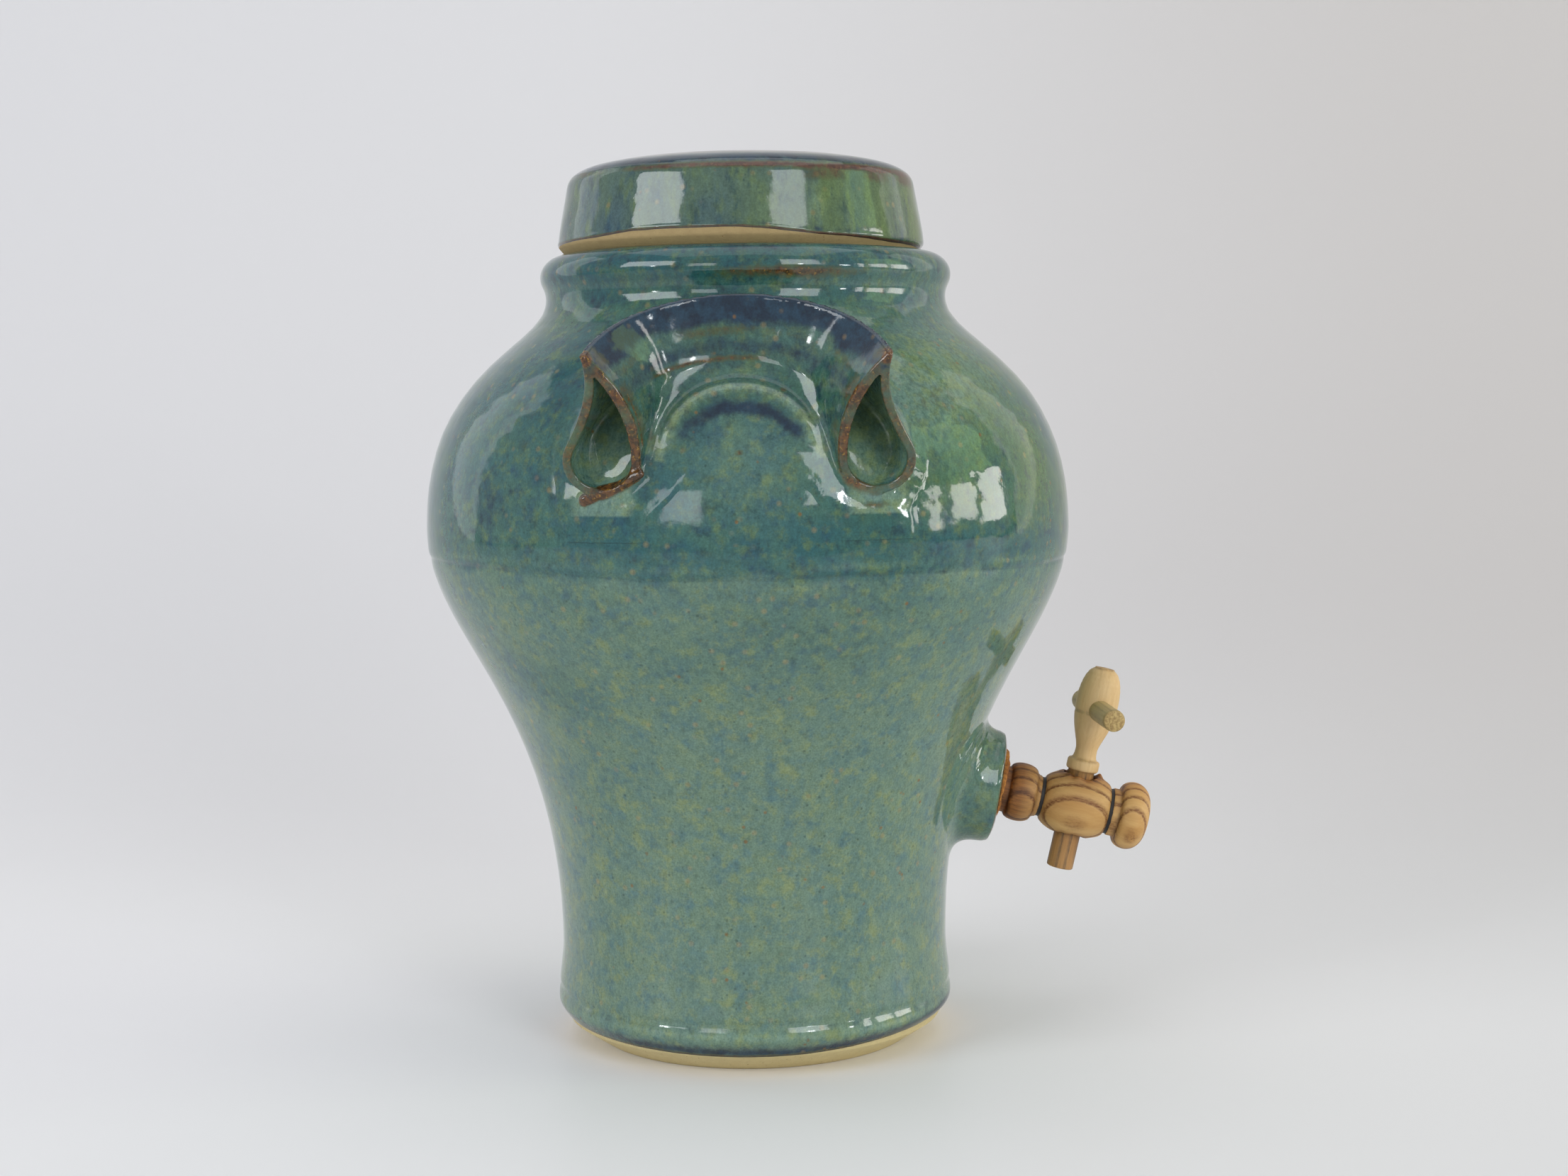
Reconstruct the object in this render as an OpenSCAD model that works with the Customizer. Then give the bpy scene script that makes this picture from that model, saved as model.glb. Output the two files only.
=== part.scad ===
// Stoneware vinegar crock with a cap lid, two hollow lug handles and a turned wooden tap.
// Millimetres. Z is up, the origin is the centre of the foot, the tap points to +X
// and the handles face -Y and +Y.

/* [Crock] */
// Diameter of the flat face that the crock stands on
foot_d = 117; // [108:1:124]
// Height of the bare clay band around the foot
foot_band_h = 7; // [5:0.5:8.5]
// Outer diameter at the top of the bare clay band
foot_band_d = 137.4; // [132:0.2:141]
// Outer diameter of the roll above the foot
base_roll_d = 145; // [142:0.2:152]
// Height of the middle of that roll
base_roll_z = 18; // [15:1:22]
// Outer diameter at the waist
waist_d = 142.2; // [130:0.2:144]
// Height of the waist
waist_z = 36; // [32:1:46]
// Outer diameter at the belly
belly_d = 233.8; // [215:0.2:250]
// Height of the belly
belly_z = 187; // [176:1:196]
// Outer diameter of the neck
neck_d = 145.2; // [140:0.2:152]
// Height of the neck's narrowest ring above the belly
neck_above_belly = 82.5; // [76:0.5:88]
// Height of the ledge that the lid rests on, above the neck's narrowest ring
ledge_above_neck = 15.5; // [12:0.5:20]
// Outer diameter of the roll under the lid
rim_roll_d = 149; // [146:0.5:160]
// Wall thickness, measured level
wall = 7; // [5:0.5:9]
// Thickness of the bottom
floor_t = 9; // [6:0.5:14]
// Inside radius between the bottom and the wall
floor_round = 14; // [8:1:20]

/* [Mouth and lid] */
// Diameter of the mouth
mouth_d = 103; // [90:1:108]
// Wall of the collar that stands inside the lid
collar_wall = 5.5; // [4:0.5:7]
// Height of the collar above the ledge
collar_h = 19; // [12:1:22]
// Play between the collar and the lid, on the radius
lid_play = 3; // [2:0.1:4]
// Wall of the lid
lid_wall = 6.5; // [5:0.5:8]
// Height of the lid
lid_h = 33.5; // [30:0.5:42]
// Thickness of the top of the lid
lid_top_t = 6.5; // [6:0.5:8]
// Height of the bare bevel at the lid's lower edge
lid_bevel = 3.2; // [2:0.2:4]
// Width of that bevel
lid_bevel_w = 2.5; // [1:0.1:3.5]
// How far the lid's wall draws in towards the top
lid_draw = 3.6; // [1:0.2:6]
// Drop of the lid's rounded shoulder
lid_shoulder_drop = 9.2; // [8:0.2:14]
// Width of the lid's rounded shoulder
lid_shoulder_w = 20; // [14:1:26]
// How far the lid sits off centre within its play
lid_shift = 1.4; // [0:0.1:1.6]

/* [Handles] */
// Radius of the ring that the crest follows
handle_crest_r = 49.3; // [44:0.1:53]
// Angle of crest in each handle
handle_span = 154; // [120:1:165]
// Lean of the ring's axis away from the pot
handle_lean = 32; // [28:1:36]
// Lean of the cut that ends the ring
handle_cut_lean = 26; // [22:1:28]
// Height of the lowest point of the cut ends above the belly
handle_above_belly = 14.7; // [10:0.1:20]
// Gap between that point and the crock
handle_gap = 1.3; // [0.8:0.1:2]
// Outer radius of the round base of the hollow section
handle_base_r = 12.2; // [11:0.1:13]
// Depth of the middle of that round base below the crest
handle_base_depth = 37; // [34:0.5:40]
// Radius of the ring that the middle of the round base follows
handle_base_ring_r = 44.6; // [42:0.1:47]
// Wall of the hollow section
handle_wall = 3.2; // [2.5:0.1:4]
// Solid clay below the crest
handle_crest_t = 7.5; // [6.5:0.1:9]

/* [Tap seat] */
// Height of the tap's axis where it leaves the boss
tap_z = 88.6; // [80:0.2:98]
// Downward tilt of the tap
tap_tilt = 13; // [8:0.5:15]
// Downward tilt of the boss face
boss_tilt = 11; // [8:0.5:14]
// Diameter of the boss face
boss_d = 41; // [38:0.5:46]
// Diameter of the boss at its root
boss_root_d = 45; // [42:0.5:50]
// Distance from the crock's wall to the boss face
boss_projection = 12.9; // [10:0.1:16]
// Rounding of the edge of the boss face
boss_edge_r = 2.2; // [1:0.1:3]
// Diameter of the cork bung
bung_d = 30; // [27:0.5:32]
// How far the bung stands out of the boss
bung_proud = 1.8; // [1:0.1:3]
// Length of the bung behind the boss face
bung_depth = 27; // [24:0.5:32]

/* [Tap] */
// Diameter of the shank at the boss face
shank_d = 17; // [15:0.1:18]
// Diameter of the shank at its inner end
shank_end_d = 15.4; // [14:0.1:16]
// Length of the shank behind the boss face
shank_depth = 33; // [29:0.5:38]
// Bore of the tap
tap_bore_d = 7; // [5:0.1:8]
// Length of the bare shank before the bead
shank_show = 4.2; // [3:0.1:6]
// Diameter of the bead
bead_d = 21.7; // [20:0.1:24]
// Length of the bead
bead_len = 9.2; // [8:0.1:11]
// Diameter of the neck on the boss side of the ball
neck_in_d = 15.4; // [14:0.1:17]
// Distance from the bead to the ball
neck_in_len = 4; // [3:0.1:5]
// Diameter of the ball
ball_d = 24.6; // [23:0.1:27]
// Length of the ball along the tap
ball_len = 24; // [22:0.1:27]
// Diameter of the neck on the knob side of the ball
neck_out_d = 17.6; // [16:0.1:19]
// Distance from the ball to the knob
neck_out_len = 4.2; // [3:0.1:6]
// Diameter of the end knob
knob_d = 25; // [23:0.1:28]
// Length of the end knob
knob_len = 11.8; // [10:0.1:14]

/* [Key] */
// Diameter of the key's stem and spout
stem_d = 9.8; // [9:0.1:10.6]
// Bore of the spout
spout_bore_d = 5.6; // [4:0.1:6]
// Length of the spout below the tap's axis
spout_len = 24.2; // [20:0.2:30]
// Diameter of the key's collar
key_collar_d = 12; // [11.2:0.1:13]
// Height of the collar's lower face above the tap's axis
key_collar_z = 12.8; // [12.4:0.1:14.5]
// Thickness of the collar
key_collar_t = 4.2; // [3:0.1:5]
// Diameter of the key's waist
key_waist_d = 8; // [7.6:0.1:9.2]
// Height of the waist above the collar
key_waist_gap = 3.4; // [2:0.1:4.5]
// Diameter of the key's bulb
bulb_d = 15.6; // [14.5:0.1:18]
// Height of the middle of the bulb above the waist
bulb_rise = 18.4; // [17:0.1:22]
// Height of the bulb above its middle
bulb_top = 13; // [10:0.1:15]
// Diameter of the flat on top of the key
key_flat_d = 7.2; // [5:0.1:9]
// Running clearance of the stem in its cork, on the radius
key_clearance = 0.08; // [0.02:0.01:0.1]
// Thickness of the cork around the stem
liner_t = 1.4; // [1:0.1:1.8]
// Diameter of the cross pin
pin_d = 8.2; // [6:0.1:8.6]
// Length of the cross pin
pin_len = 52; // [36:0.5:60]
// Height of the cross pin above the waist
pin_rise = 15.9; // [13:0.1:18]
// How far the cross pin is off centre towards the front
pin_offset = 3; // [0:0.1:6]
// Turn of the key away from square to the tap
key_turn = 6; // [0:0.5:15]

/* [Hidden] */
$fn = 96;
steps = 16;         // straight pieces in each long curve
short_steps = 8;    // straight pieces in each short curve

glaze = [0.31, 0.45, 0.41];
cork = [0.62, 0.42, 0.25];
ash = [0.76, 0.58, 0.36];
pale_wood = [0.88, 0.78, 0.60];

// Cubic curve from p0 to p3, without its first point
function curve(p0, p1, p2, p3, n) = [
    for (i = [1:n]) let (t = i / n, s = 1 - t)
        s*s*s*p0 + 3*s*s*t*p1 + 3*s*t*t*p2 + t*t*t*p3
];

// Curve between two points of a turned profile that both run upright there
function upright(p0, p1, pull0, pull1, n) =
    curve(p0, p0 + [0, pull0 * (p1[1] - p0[1])], p1 - [0, pull1 * (p1[1] - p0[1])], p1, n);

// Arc about c from angle a0 to angle a1
function arc(c, r, a0, a1, n) = [
    for (i = [0:n]) let (a = a0 + (a1 - a0) * i / n) c + r * [cos(a), sin(a)]
];

// Half of a rounded swelling along a turned piece: radius r0 at z0 growing to r1 at z1
function swell(z0, r0, z1, r1, n) = [
    for (i = [0:n]) let (a = 90 * i / n) [r0 + (r1 - r0) * sin(a), z1 - (z1 - z0) * cos(a)]
];

// The same curve run through from its other end
function turned_round(points) = [for (i = [len(points) - 1:-1:0]) points[i]];

// Crock outline
neck_z = belly_z + neck_above_belly;
ledge_height = neck_z + ledge_above_neck;
rim_roll_z = (neck_z + ledge_height) / 2;
collar_r = mouth_d / 2 + collar_wall;
lid_inner_r = collar_r + lid_play;
lid_outer_r = lid_inner_r + lid_wall;
lid_foot_r = lid_outer_r - lid_bevel_w;
rim_margin = 0.9;       // ledge seen outside the lid on the side it has shifted to
rim_r = lid_foot_r + lid_shift + rim_margin;
rim_bend = 3.4;         // height over which the roll bends in to the ledge
mouth_lip_h = 8;        // upright stretch of the mouth below the ledge
waist_pull = 0.58;
belly_pull_below = 0.256;
belly_pull_above = 0.724;
neck_pull = 0.21;
inner_belly_pull = 0.66;
inner_neck_pull = 0.17;
foot_flare = 4;         // how far the curve above the foot band keeps its slope
base_roll_rise = 6;     // how far below its middle the base roll is upright

outline = concat(
    [[foot_d / 2, 0], [foot_band_d / 2, foot_band_h]],
    curve([foot_band_d / 2, foot_band_h], [(foot_band_d + base_roll_d) / 4, foot_band_h + foot_flare],
          [base_roll_d / 2, base_roll_z - base_roll_rise], [base_roll_d / 2, base_roll_z], short_steps),
    upright([base_roll_d / 2, base_roll_z], [waist_d / 2, waist_z], 0.35, 0.4, short_steps),
    upright([waist_d / 2, waist_z], [belly_d / 2, belly_z], waist_pull, belly_pull_below, steps),
    upright([belly_d / 2, belly_z], [neck_d / 2, neck_z], belly_pull_above, neck_pull, steps),
    upright([neck_d / 2, neck_z], [rim_roll_d / 2, rim_roll_z], 0.5, 0.45, short_steps),
    curve([rim_roll_d / 2, rim_roll_z], [rim_roll_d / 2, ledge_height - rim_bend],
          [(rim_r + rim_roll_d / 2) / 2, ledge_height], [rim_r, ledge_height], short_steps)
);

// Outer radius of the crock at height z
function outer_r(z) = lookup(z, [for (p = outline) [p[1], p[0]]]);

// Crock inside, from the middle of the bottom up to the mouth
inside = concat(
    [[0, floor_t]],
    arc([waist_d / 2 - wall - floor_round, floor_t + floor_round], floor_round, -90, 0, short_steps),
    [[waist_d / 2 - wall, waist_z]],
    upright([waist_d / 2 - wall, waist_z], [belly_d / 2 - wall, belly_z],
            waist_pull, belly_pull_below, steps),
    upright([belly_d / 2 - wall, belly_z], [mouth_d / 2, ledge_height - mouth_lip_h],
            inner_belly_pull, inner_neck_pull, steps)
);

collar_top = ledge_height + collar_h;
collar_edge_r = 0.4 * collar_wall;

module revolve(points) {
    rotate_extrude() polygon(points);
}

// The crock's outer shape as one block, for cutting what is luted to it
module crock_block() {
    revolve(concat([[0, 0]], outline, [[0, ledge_height]]));
}

// Frame of the tap: origin on its axis at the boss face, Z along the tap
face_x = outer_r(tap_z) + boss_projection;
module on_tap() {
    translate([face_x, 0, tap_z]) rotate([0, 90 + tap_tilt, 0]) children();
}

// Frame of the boss: the same origin, Z square to the boss face
module on_boss() {
    translate([face_x, 0, tap_z]) rotate([0, 90 + boss_tilt, 0]) children();
}

module bung_hole() {
    spare = 20;         // hole past both ends of the bung
    on_tap() translate([0, 0, -bung_depth - spare]) cylinder(d = bung_d, h = bung_depth + 2 * spare);
}

module crock_body() {
    rim = concat(
        [[collar_r, ledge_height], [collar_r, collar_top - collar_edge_r]],
        arc([collar_r - collar_edge_r, collar_top - collar_edge_r], collar_edge_r, 0, 90, 4),
        arc([mouth_d / 2 + collar_edge_r, collar_top - collar_edge_r], collar_edge_r, 90, 180, 4)
    );
    color(glaze) difference() {
        revolve(concat([[0, 0]], outline, rim, turned_round(inside)));
        bung_hole();
    }
}

// Cap lid, resting on the ledge around the collar
lid_shoulder_z = ledge_height + lid_h - lid_shoulder_drop;
lid_top_r = lid_outer_r - lid_draw;
module lid() {
    top = ledge_height + lid_h;
    flat_r = lid_top_r - lid_shoulder_w;
    under = top - lid_top_t;
    under_round = 5;
    color(glaze) translate([-lid_shift, 0, 0]) revolve(concat(
        [[lid_inner_r, ledge_height], [lid_foot_r, ledge_height],
         [lid_outer_r, ledge_height + lid_bevel]],
        curve([lid_outer_r, ledge_height + lid_bevel], [lid_outer_r, ledge_height + lid_bevel + 4],
              [lid_top_r + 1, lid_shoulder_z - 6], [lid_top_r, lid_shoulder_z], short_steps),
        curve([lid_top_r, lid_shoulder_z], [lid_top_r - 0.8, lid_shoulder_z + 0.62 * lid_shoulder_drop],
              [lid_top_r - 8.5, top - 1.6], [flat_r, top], steps),
        [[0, top], [0, under]],
        arc([lid_inner_r - under_round, under - under_round], under_round, 90, 0, short_steps)
    ));
}

// Handle: a length of thrown hollow ring with a pointed crest, leaning off the shoulder.
// The ring is placed by the lowest point of its cut end, which lies just off the shoulder.
function ring_point(x, out, depth) = [
    x,
    out * cos(handle_lean) + depth * sin(handle_lean),
    out * sin(handle_lean) - depth * cos(handle_lean)
];
tip_out = handle_crest_r * cos(handle_span / 2);
end_depth = handle_base_depth + handle_base_r;
end_out = tip_out - end_depth * tan(handle_lean - handle_cut_lean);
end_x = sqrt(pow(handle_base_ring_r, 2) - pow(end_out, 2));
end_z = belly_z + handle_above_belly;
end_y = -sqrt(pow(outer_r(end_z) + handle_gap, 2) - pow(end_x, 2));
ring_centre = [end_x, end_y, end_z] - ring_point(end_x, end_out, end_depth);

// Section of the ring in radius and height. Each side leaves the crest along its first pull
// and meets the round base with its second, both as shares of the height between them.
function teardrop(base_r, crest, crest_w, out_pull, in_pull, out_meet, in_meet) = let (
        c = [handle_base_ring_r, -handle_base_depth],
        out_a = 25,
        out_p = c + base_r * [cos(out_a), sin(out_a)],
        in_p = c - [base_r, 0],
        crest_out = crest + [crest_w / 2, 0],
        crest_in = crest - [crest_w / 2, 0],
        rise = handle_base_depth + crest[1]
    ) concat(
        curve(crest_out, crest_out + rise * out_pull,
              out_p + rise * out_meet * [-sin(out_a), cos(out_a)], out_p, short_steps),
        arc(c, base_r, out_a, -180, 2 * short_steps),
        curve(in_p, in_p + [0, rise * in_meet], crest_in + rise * in_pull, crest_in, short_steps),
        [crest_out]
    );

// Where the crest ends, and the room needed to cut the ring off there
crest_end = ring_centre + ring_point(0, tip_out, 0);
cut_room = 3 * handle_crest_r;

module handle() {
    spill = 12;         // ring past the half turn, so that the cut lies wholly inside it
    hollow_top = [handle_crest_r - 0.48 * handle_crest_t, -handle_crest_t];
    color(glaze) difference() {
        translate(ring_centre) rotate([handle_lean, 0, 0]) rotate([0, 0, -spill])
            rotate_extrude(angle = 180 + 2 * spill) difference() {
                polygon(teardrop(handle_base_r, [handle_crest_r, 0], 1.6,
                                 [-0.11, -0.34], [-0.22, -0.22], 0.24, 0.5));
                polygon(teardrop(handle_base_r - handle_wall, hollow_top, 0.8,
                                 [-0.05, -0.3], [-0.05, -0.05], 0.2, 0.54));
            }
        translate(crest_end) rotate([handle_cut_lean, 0, 0])
            translate(-[cut_room, 2 * cut_room, cut_room]) cube(2 * cut_room);
        crock_block();
    }
}

module front_handle() {
    handle();
}

module rear_handle() {
    rotate([0, 0, 180]) handle();
}

// Raised boss luted around the tap hole
module tap_boss() {
    root = boss_projection + wall;
    color(glaze) difference() {
        on_boss() revolve(concat(
            [[0, 0]],
            turned_round(arc([boss_d / 2 - boss_edge_r, -boss_edge_r], boss_edge_r, 0, 90, 5)),
            [[boss_root_d / 2, -root], [0, -root]]
        ));
        crock_block();
        bung_hole();
    }
}

// Radius of the shank at distance z along the tap
shank_slope = (shank_d - shank_end_d) / 2 / shank_depth;
function shank_r(z) = shank_d / 2 + shank_slope * z;

module cork_bung() {
    color(cork) on_tap() revolve([
        [shank_r(-bung_depth), -bung_depth], [bung_d / 2, -bung_depth],
        [bung_d / 2, bung_proud], [shank_r(bung_proud), bung_proud]
    ]);
}

// Stations along the tap, from the boss face outwards
bead_z0 = shank_show;
bead_z1 = bead_z0 + bead_len;
ball_z0 = bead_z1 + neck_in_len;
key_z = ball_z0 + ball_len / 2;
ball_z1 = ball_z0 + ball_len;
knob_z0 = ball_z1 + neck_out_len;
knob_z1 = knob_z0 + knob_len;
liner_r = stem_d / 2 + key_clearance + liner_t;

// Frame of the key: origin where its axis crosses the tap's, Z up along the key
module on_key() {
    on_tap() translate([0, 0, key_z]) rotate([0, -90, 0]) children();
}

module tap_bore() {
    on_tap() translate([0, 0, -shank_depth - 1])
        cylinder(d = tap_bore_d, h = shank_depth + 1 + key_z - stem_d / 2 - key_clearance);
}

module tap_body() {
    knob_widest = knob_z0 + 0.4 * knob_len;
    color(ash) difference() {
        on_tap() revolve(concat(
            [[0, -shank_depth], [shank_end_d / 2 - 1, -shank_depth],
             [shank_r(1 - shank_depth), 1 - shank_depth], [shank_r(bead_z0), bead_z0]],
            swell(bead_z0, shank_r(bead_z0) + 0.3, bead_z0 + bead_len / 2, bead_d / 2, 6),
            turned_round(swell(bead_z1 + 0.6, neck_in_d / 2 + 0.8, bead_z0 + bead_len / 2, bead_d / 2, 6)),
            [[neck_in_d / 2, bead_z1 + 0.55 * neck_in_len], [neck_in_d / 2, ball_z0]],
            swell(ball_z0, neck_in_d / 2 + 0.2, key_z, ball_d / 2, 8),
            turned_round(swell(ball_z1, neck_out_d / 2 + 0.1, key_z, ball_d / 2, 8)),
            [[neck_out_d / 2, ball_z1 + 0.2], [neck_out_d / 2, knob_z0]],
            swell(knob_z0, neck_out_d / 2 + 0.6, knob_widest, knob_d / 2, 6),
            turned_round(swell(knob_z1 - 0.6, 0.5 * knob_d / 2, knob_widest, knob_d / 2, 8)),
            [[0, knob_z1]]
        ));
        tap_bore();
        on_key() translate([0, 0, -ball_d]) cylinder(r = liner_r, h = 2 * ball_d);
    }
}

// Cork between the key's stem and the tap
module key_liner() {
    half = sqrt(pow(ball_d / 2, 2) - pow(liner_r, 2)) - 0.4;
    color(cork) difference() {
        on_key() translate([0, 0, -half]) difference() {
            cylinder(r = liner_r, h = 2 * half);
            translate([0, 0, -1]) cylinder(r = stem_d / 2 + key_clearance, h = 2 * half + 2);
        }
        tap_bore();
    }
}

// Heights on the key, above the tap's axis
key_waist_z = key_collar_z + key_collar_t + key_waist_gap;
bulb_z = key_waist_z + bulb_rise;
key_top = bulb_z + bulb_top;
pin_z = key_waist_z + pin_rise;
stem_r = stem_d / 2;

// Frame of the cross pin: origin on the key's axis, Z along the pin towards the front
module on_pin(height) {
    on_key() rotate([0, 0, key_turn]) translate([0, 0, height]) rotate([90, 0, 0]) children();
}

module tap_key() {
    edge = 0.5;
    collar_edge = 0.8;
    collar_r_out = key_collar_d / 2;
    collar_z1 = key_collar_z + key_collar_t;
    color(pale_wood) difference() {
        on_key() revolve(concat(
            [[0, -spout_len], [stem_r - edge, -spout_len], [stem_r, edge - spout_len],
             [stem_r, key_collar_z], [collar_r_out - collar_edge, key_collar_z],
             [collar_r_out, key_collar_z + collar_edge], [collar_r_out, collar_z1 - collar_edge],
             [collar_r_out - collar_edge, collar_z1], [key_waist_d / 2 + 0.3, collar_z1 + 0.2]],
            curve([key_waist_d / 2 + 0.3, collar_z1 + 0.2], [key_waist_d / 2, collar_z1 + 0.8],
                  [key_waist_d / 2, key_waist_z - 0.8], [key_waist_d / 2, key_waist_z], 3),
            upright([key_waist_d / 2, key_waist_z], [bulb_d / 2, bulb_z], 0.2, 0.56, steps),
            curve([bulb_d / 2, bulb_z], [bulb_d / 2, bulb_z + 0.52 * bulb_top],
                  [0.78 * bulb_d / 2, key_top - 0.14 * bulb_top], [key_flat_d / 2, key_top], steps),
            [[0, key_top]]
        ));
        on_key() translate([0, 0, -spout_len - 1])
            cylinder(d = spout_bore_d, h = spout_len + 1 + spout_bore_d / 2);
        on_pin(0) cylinder(d = spout_bore_d, h = stem_d);
        on_pin(pin_z) translate([0, 0, -bulb_d]) cylinder(d = pin_d, h = 2 * bulb_d);
    }
}

module key_cross_pin() {
    color(pale_wood) on_pin(pin_z) translate([0, 0, pin_offset - pin_len / 2])
        cylinder(d = pin_d, h = pin_len);
}

crock_body();
lid();
front_handle();
rear_handle();
tap_boss();
cork_bung();
tap_body();
key_liner();
tap_key();
key_cross_pin();
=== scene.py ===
import math
import bpy
import numpy as np
from mathutils import Matrix, Vector

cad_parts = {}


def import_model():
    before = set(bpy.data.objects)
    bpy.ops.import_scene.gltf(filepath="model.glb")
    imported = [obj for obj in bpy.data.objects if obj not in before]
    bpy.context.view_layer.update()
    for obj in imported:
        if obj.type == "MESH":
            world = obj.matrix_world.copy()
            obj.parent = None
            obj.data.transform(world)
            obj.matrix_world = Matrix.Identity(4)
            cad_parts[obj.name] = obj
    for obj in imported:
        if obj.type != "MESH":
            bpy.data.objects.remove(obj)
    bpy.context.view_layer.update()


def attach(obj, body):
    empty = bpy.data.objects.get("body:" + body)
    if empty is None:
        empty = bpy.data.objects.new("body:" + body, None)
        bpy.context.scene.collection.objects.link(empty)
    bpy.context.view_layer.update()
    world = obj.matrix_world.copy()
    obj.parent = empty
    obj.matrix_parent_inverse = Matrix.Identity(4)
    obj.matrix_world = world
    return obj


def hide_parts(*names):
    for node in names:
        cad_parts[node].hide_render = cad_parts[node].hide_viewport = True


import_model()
MM = 0.001


def vec(*a):
    return np.array(a, float)


# ---- sizes, in mm, as in the CAD source

FOOT_R, FOOT_BAND_H, FOOT_BAND_R = 58.5, 7.0, 68.7
ROLL_R, ROLL_Z = 72.5, 18.0
WAIST_R, WAIST_Z = 71.1, 36.0
BELLY_R, BELLY_Z = 116.9, 187.0
NECK_R, NECK_Z = 72.6, 269.5
LEDGE_Z = 285.0
RIM_ROLL_R, RIM_ROLL_Z, RIM_R = 74.5, 277.25, 66.3
WALL, FLOOR_T, FLOOR_ROUND, MOUTH_R = 7.0, 9.0, 14.0, 51.5
COLLAR_R, COLLAR_TOP = 57.0, 304.0
LID_IN_R, LID_OUT_R, LID_TOP, LID_UNDER, LID_SHIFT = 60.0, 66.5, 318.5, 312.0, 1.4

LEAN, CUT_LEAN = math.radians(32), math.radians(26)
CREST_R, SPAN = 49.3, math.radians(154)
BASE_R, BASE_DEPTH, BASE_RING_R, HANDLE_WALL, CREST_T = 12.2, 37.0, 44.6, 2.7, 7.5

TILT, BOSS_TILT = math.radians(13), math.radians(11)
TAP_Z, BOSS_OUT, BOSS_R, BOSS_ROOT_R, BUNG_R, BUNG_IN = 88.6, 12.9, 20.5, 22.5, 15.0, 27.0
WALL_AT_TAP = 77.6426   # the wall's radius at the tap's height, as the CAD's straight pieces give it
KEY_T = 29.4            # the key's axis, along the tap from the boss's face


# ---- curves

def curve(p0, p1, p2, p3, n):
    """A Bezier curve's points after its first."""
    p0, p1, p2, p3 = np.array((p0, p1, p2, p3), float)
    t = np.linspace(0, 1, n + 1)[1:, None]
    s = 1 - t
    return s**3 * p0 + 3 * s * s * t * p1 + 3 * s * t * t * p2 + t**3 * p3


def upright(p0, p1, pull0, pull1, n):
    """A curve that is upright at both ends."""
    d = p1[1] - p0[1]
    return curve(p0, (p0[0], p0[1] + pull0 * d), (p1[0], p1[1] - pull1 * d), p1, n)


def arc(c, r, a0, a1, n):
    a = np.radians(np.linspace(a0, a1, n + 1))
    return np.stack([c[0] + r * np.cos(a), c[1] + r * np.sin(a)], 1)


def resample(points, step):
    """Points at an even spacing along a polyline."""
    points = np.asarray(points, float)
    s = np.concatenate([[0], np.cumsum(np.hypot(*np.diff(points, axis=0).T))])
    n = max(2, int(round(s[-1] / step)) + 1)
    t = np.linspace(0, s[-1], n)
    return np.stack([np.interp(t, s, points[:, i]) for i in range(points.shape[1])], 1)


outline = np.concatenate([
    [(FOOT_R, 0), (FOOT_BAND_R, FOOT_BAND_H)],
    curve((FOOT_BAND_R, FOOT_BAND_H), ((FOOT_BAND_R + ROLL_R) / 2, FOOT_BAND_H + 4),
          (ROLL_R, ROLL_Z - 6), (ROLL_R, ROLL_Z), 24),
    upright((ROLL_R, ROLL_Z), (WAIST_R, WAIST_Z), 0.35, 0.4, 24),
    upright((WAIST_R, WAIST_Z), (BELLY_R, BELLY_Z), 0.58, 0.256, 90),
    upright((BELLY_R, BELLY_Z), (NECK_R, NECK_Z), 0.724, 0.21, 70),
    upright((NECK_R, NECK_Z), (RIM_ROLL_R, RIM_ROLL_Z), 0.5, 0.45, 16),
    curve((RIM_ROLL_R, RIM_ROLL_Z), (RIM_ROLL_R, LEDGE_Z - 3.4),
          ((RIM_R + RIM_ROLL_R) / 2, LEDGE_Z), (RIM_R, LEDGE_Z), 20),
])
inner_outline = np.concatenate([
    [(0, FLOOR_T)],
    arc((WAIST_R - WALL - FLOOR_ROUND, FLOOR_T + FLOOR_ROUND), FLOOR_ROUND, -90, 0, 10),
    [(WAIST_R - WALL, WAIST_Z)],
    upright((WAIST_R - WALL, WAIST_Z), (BELLY_R - WALL, BELLY_Z), 0.58, 0.256, 30),
    upright((BELLY_R - WALL, BELLY_Z), (MOUTH_R, LEDGE_Z - 8), 0.66, 0.17, 30),
])


def outer_r(z):
    return np.interp(z, outline[:, 1], outline[:, 0])


# ---- fields

def unit(v):
    return np.clip(v, 0, 1)


def poly_distance(p, poly):
    """Distance from points to a polygon, negative inside it."""
    a, b = poly, np.roll(poly, -1, axis=0)
    ab = b - a
    ya, yb = a[:, 1], b[:, 1]
    out = np.empty(len(p))
    batch = 20000
    for i in range(0, len(p), batch):
        q = p[i:i + batch, None, :]
        aq = q - a
        t = unit((aq * ab).sum(2) / np.maximum((ab * ab).sum(1), 1e-12))
        d = aq - t[..., None] * ab
        d = np.sqrt((d * d).sum(2).min(1))
        y = q[..., 1]
        hit = (ya <= y) != (yb <= y)
        x = a[:, 0] + (y - ya) * ab[:, 0] / np.where(yb == ya, 1, yb - ya)
        out[i:i + batch] = np.where((hit & (q[..., 0] < x)).sum(1) % 2 == 1, -d, d)
    return out


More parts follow.
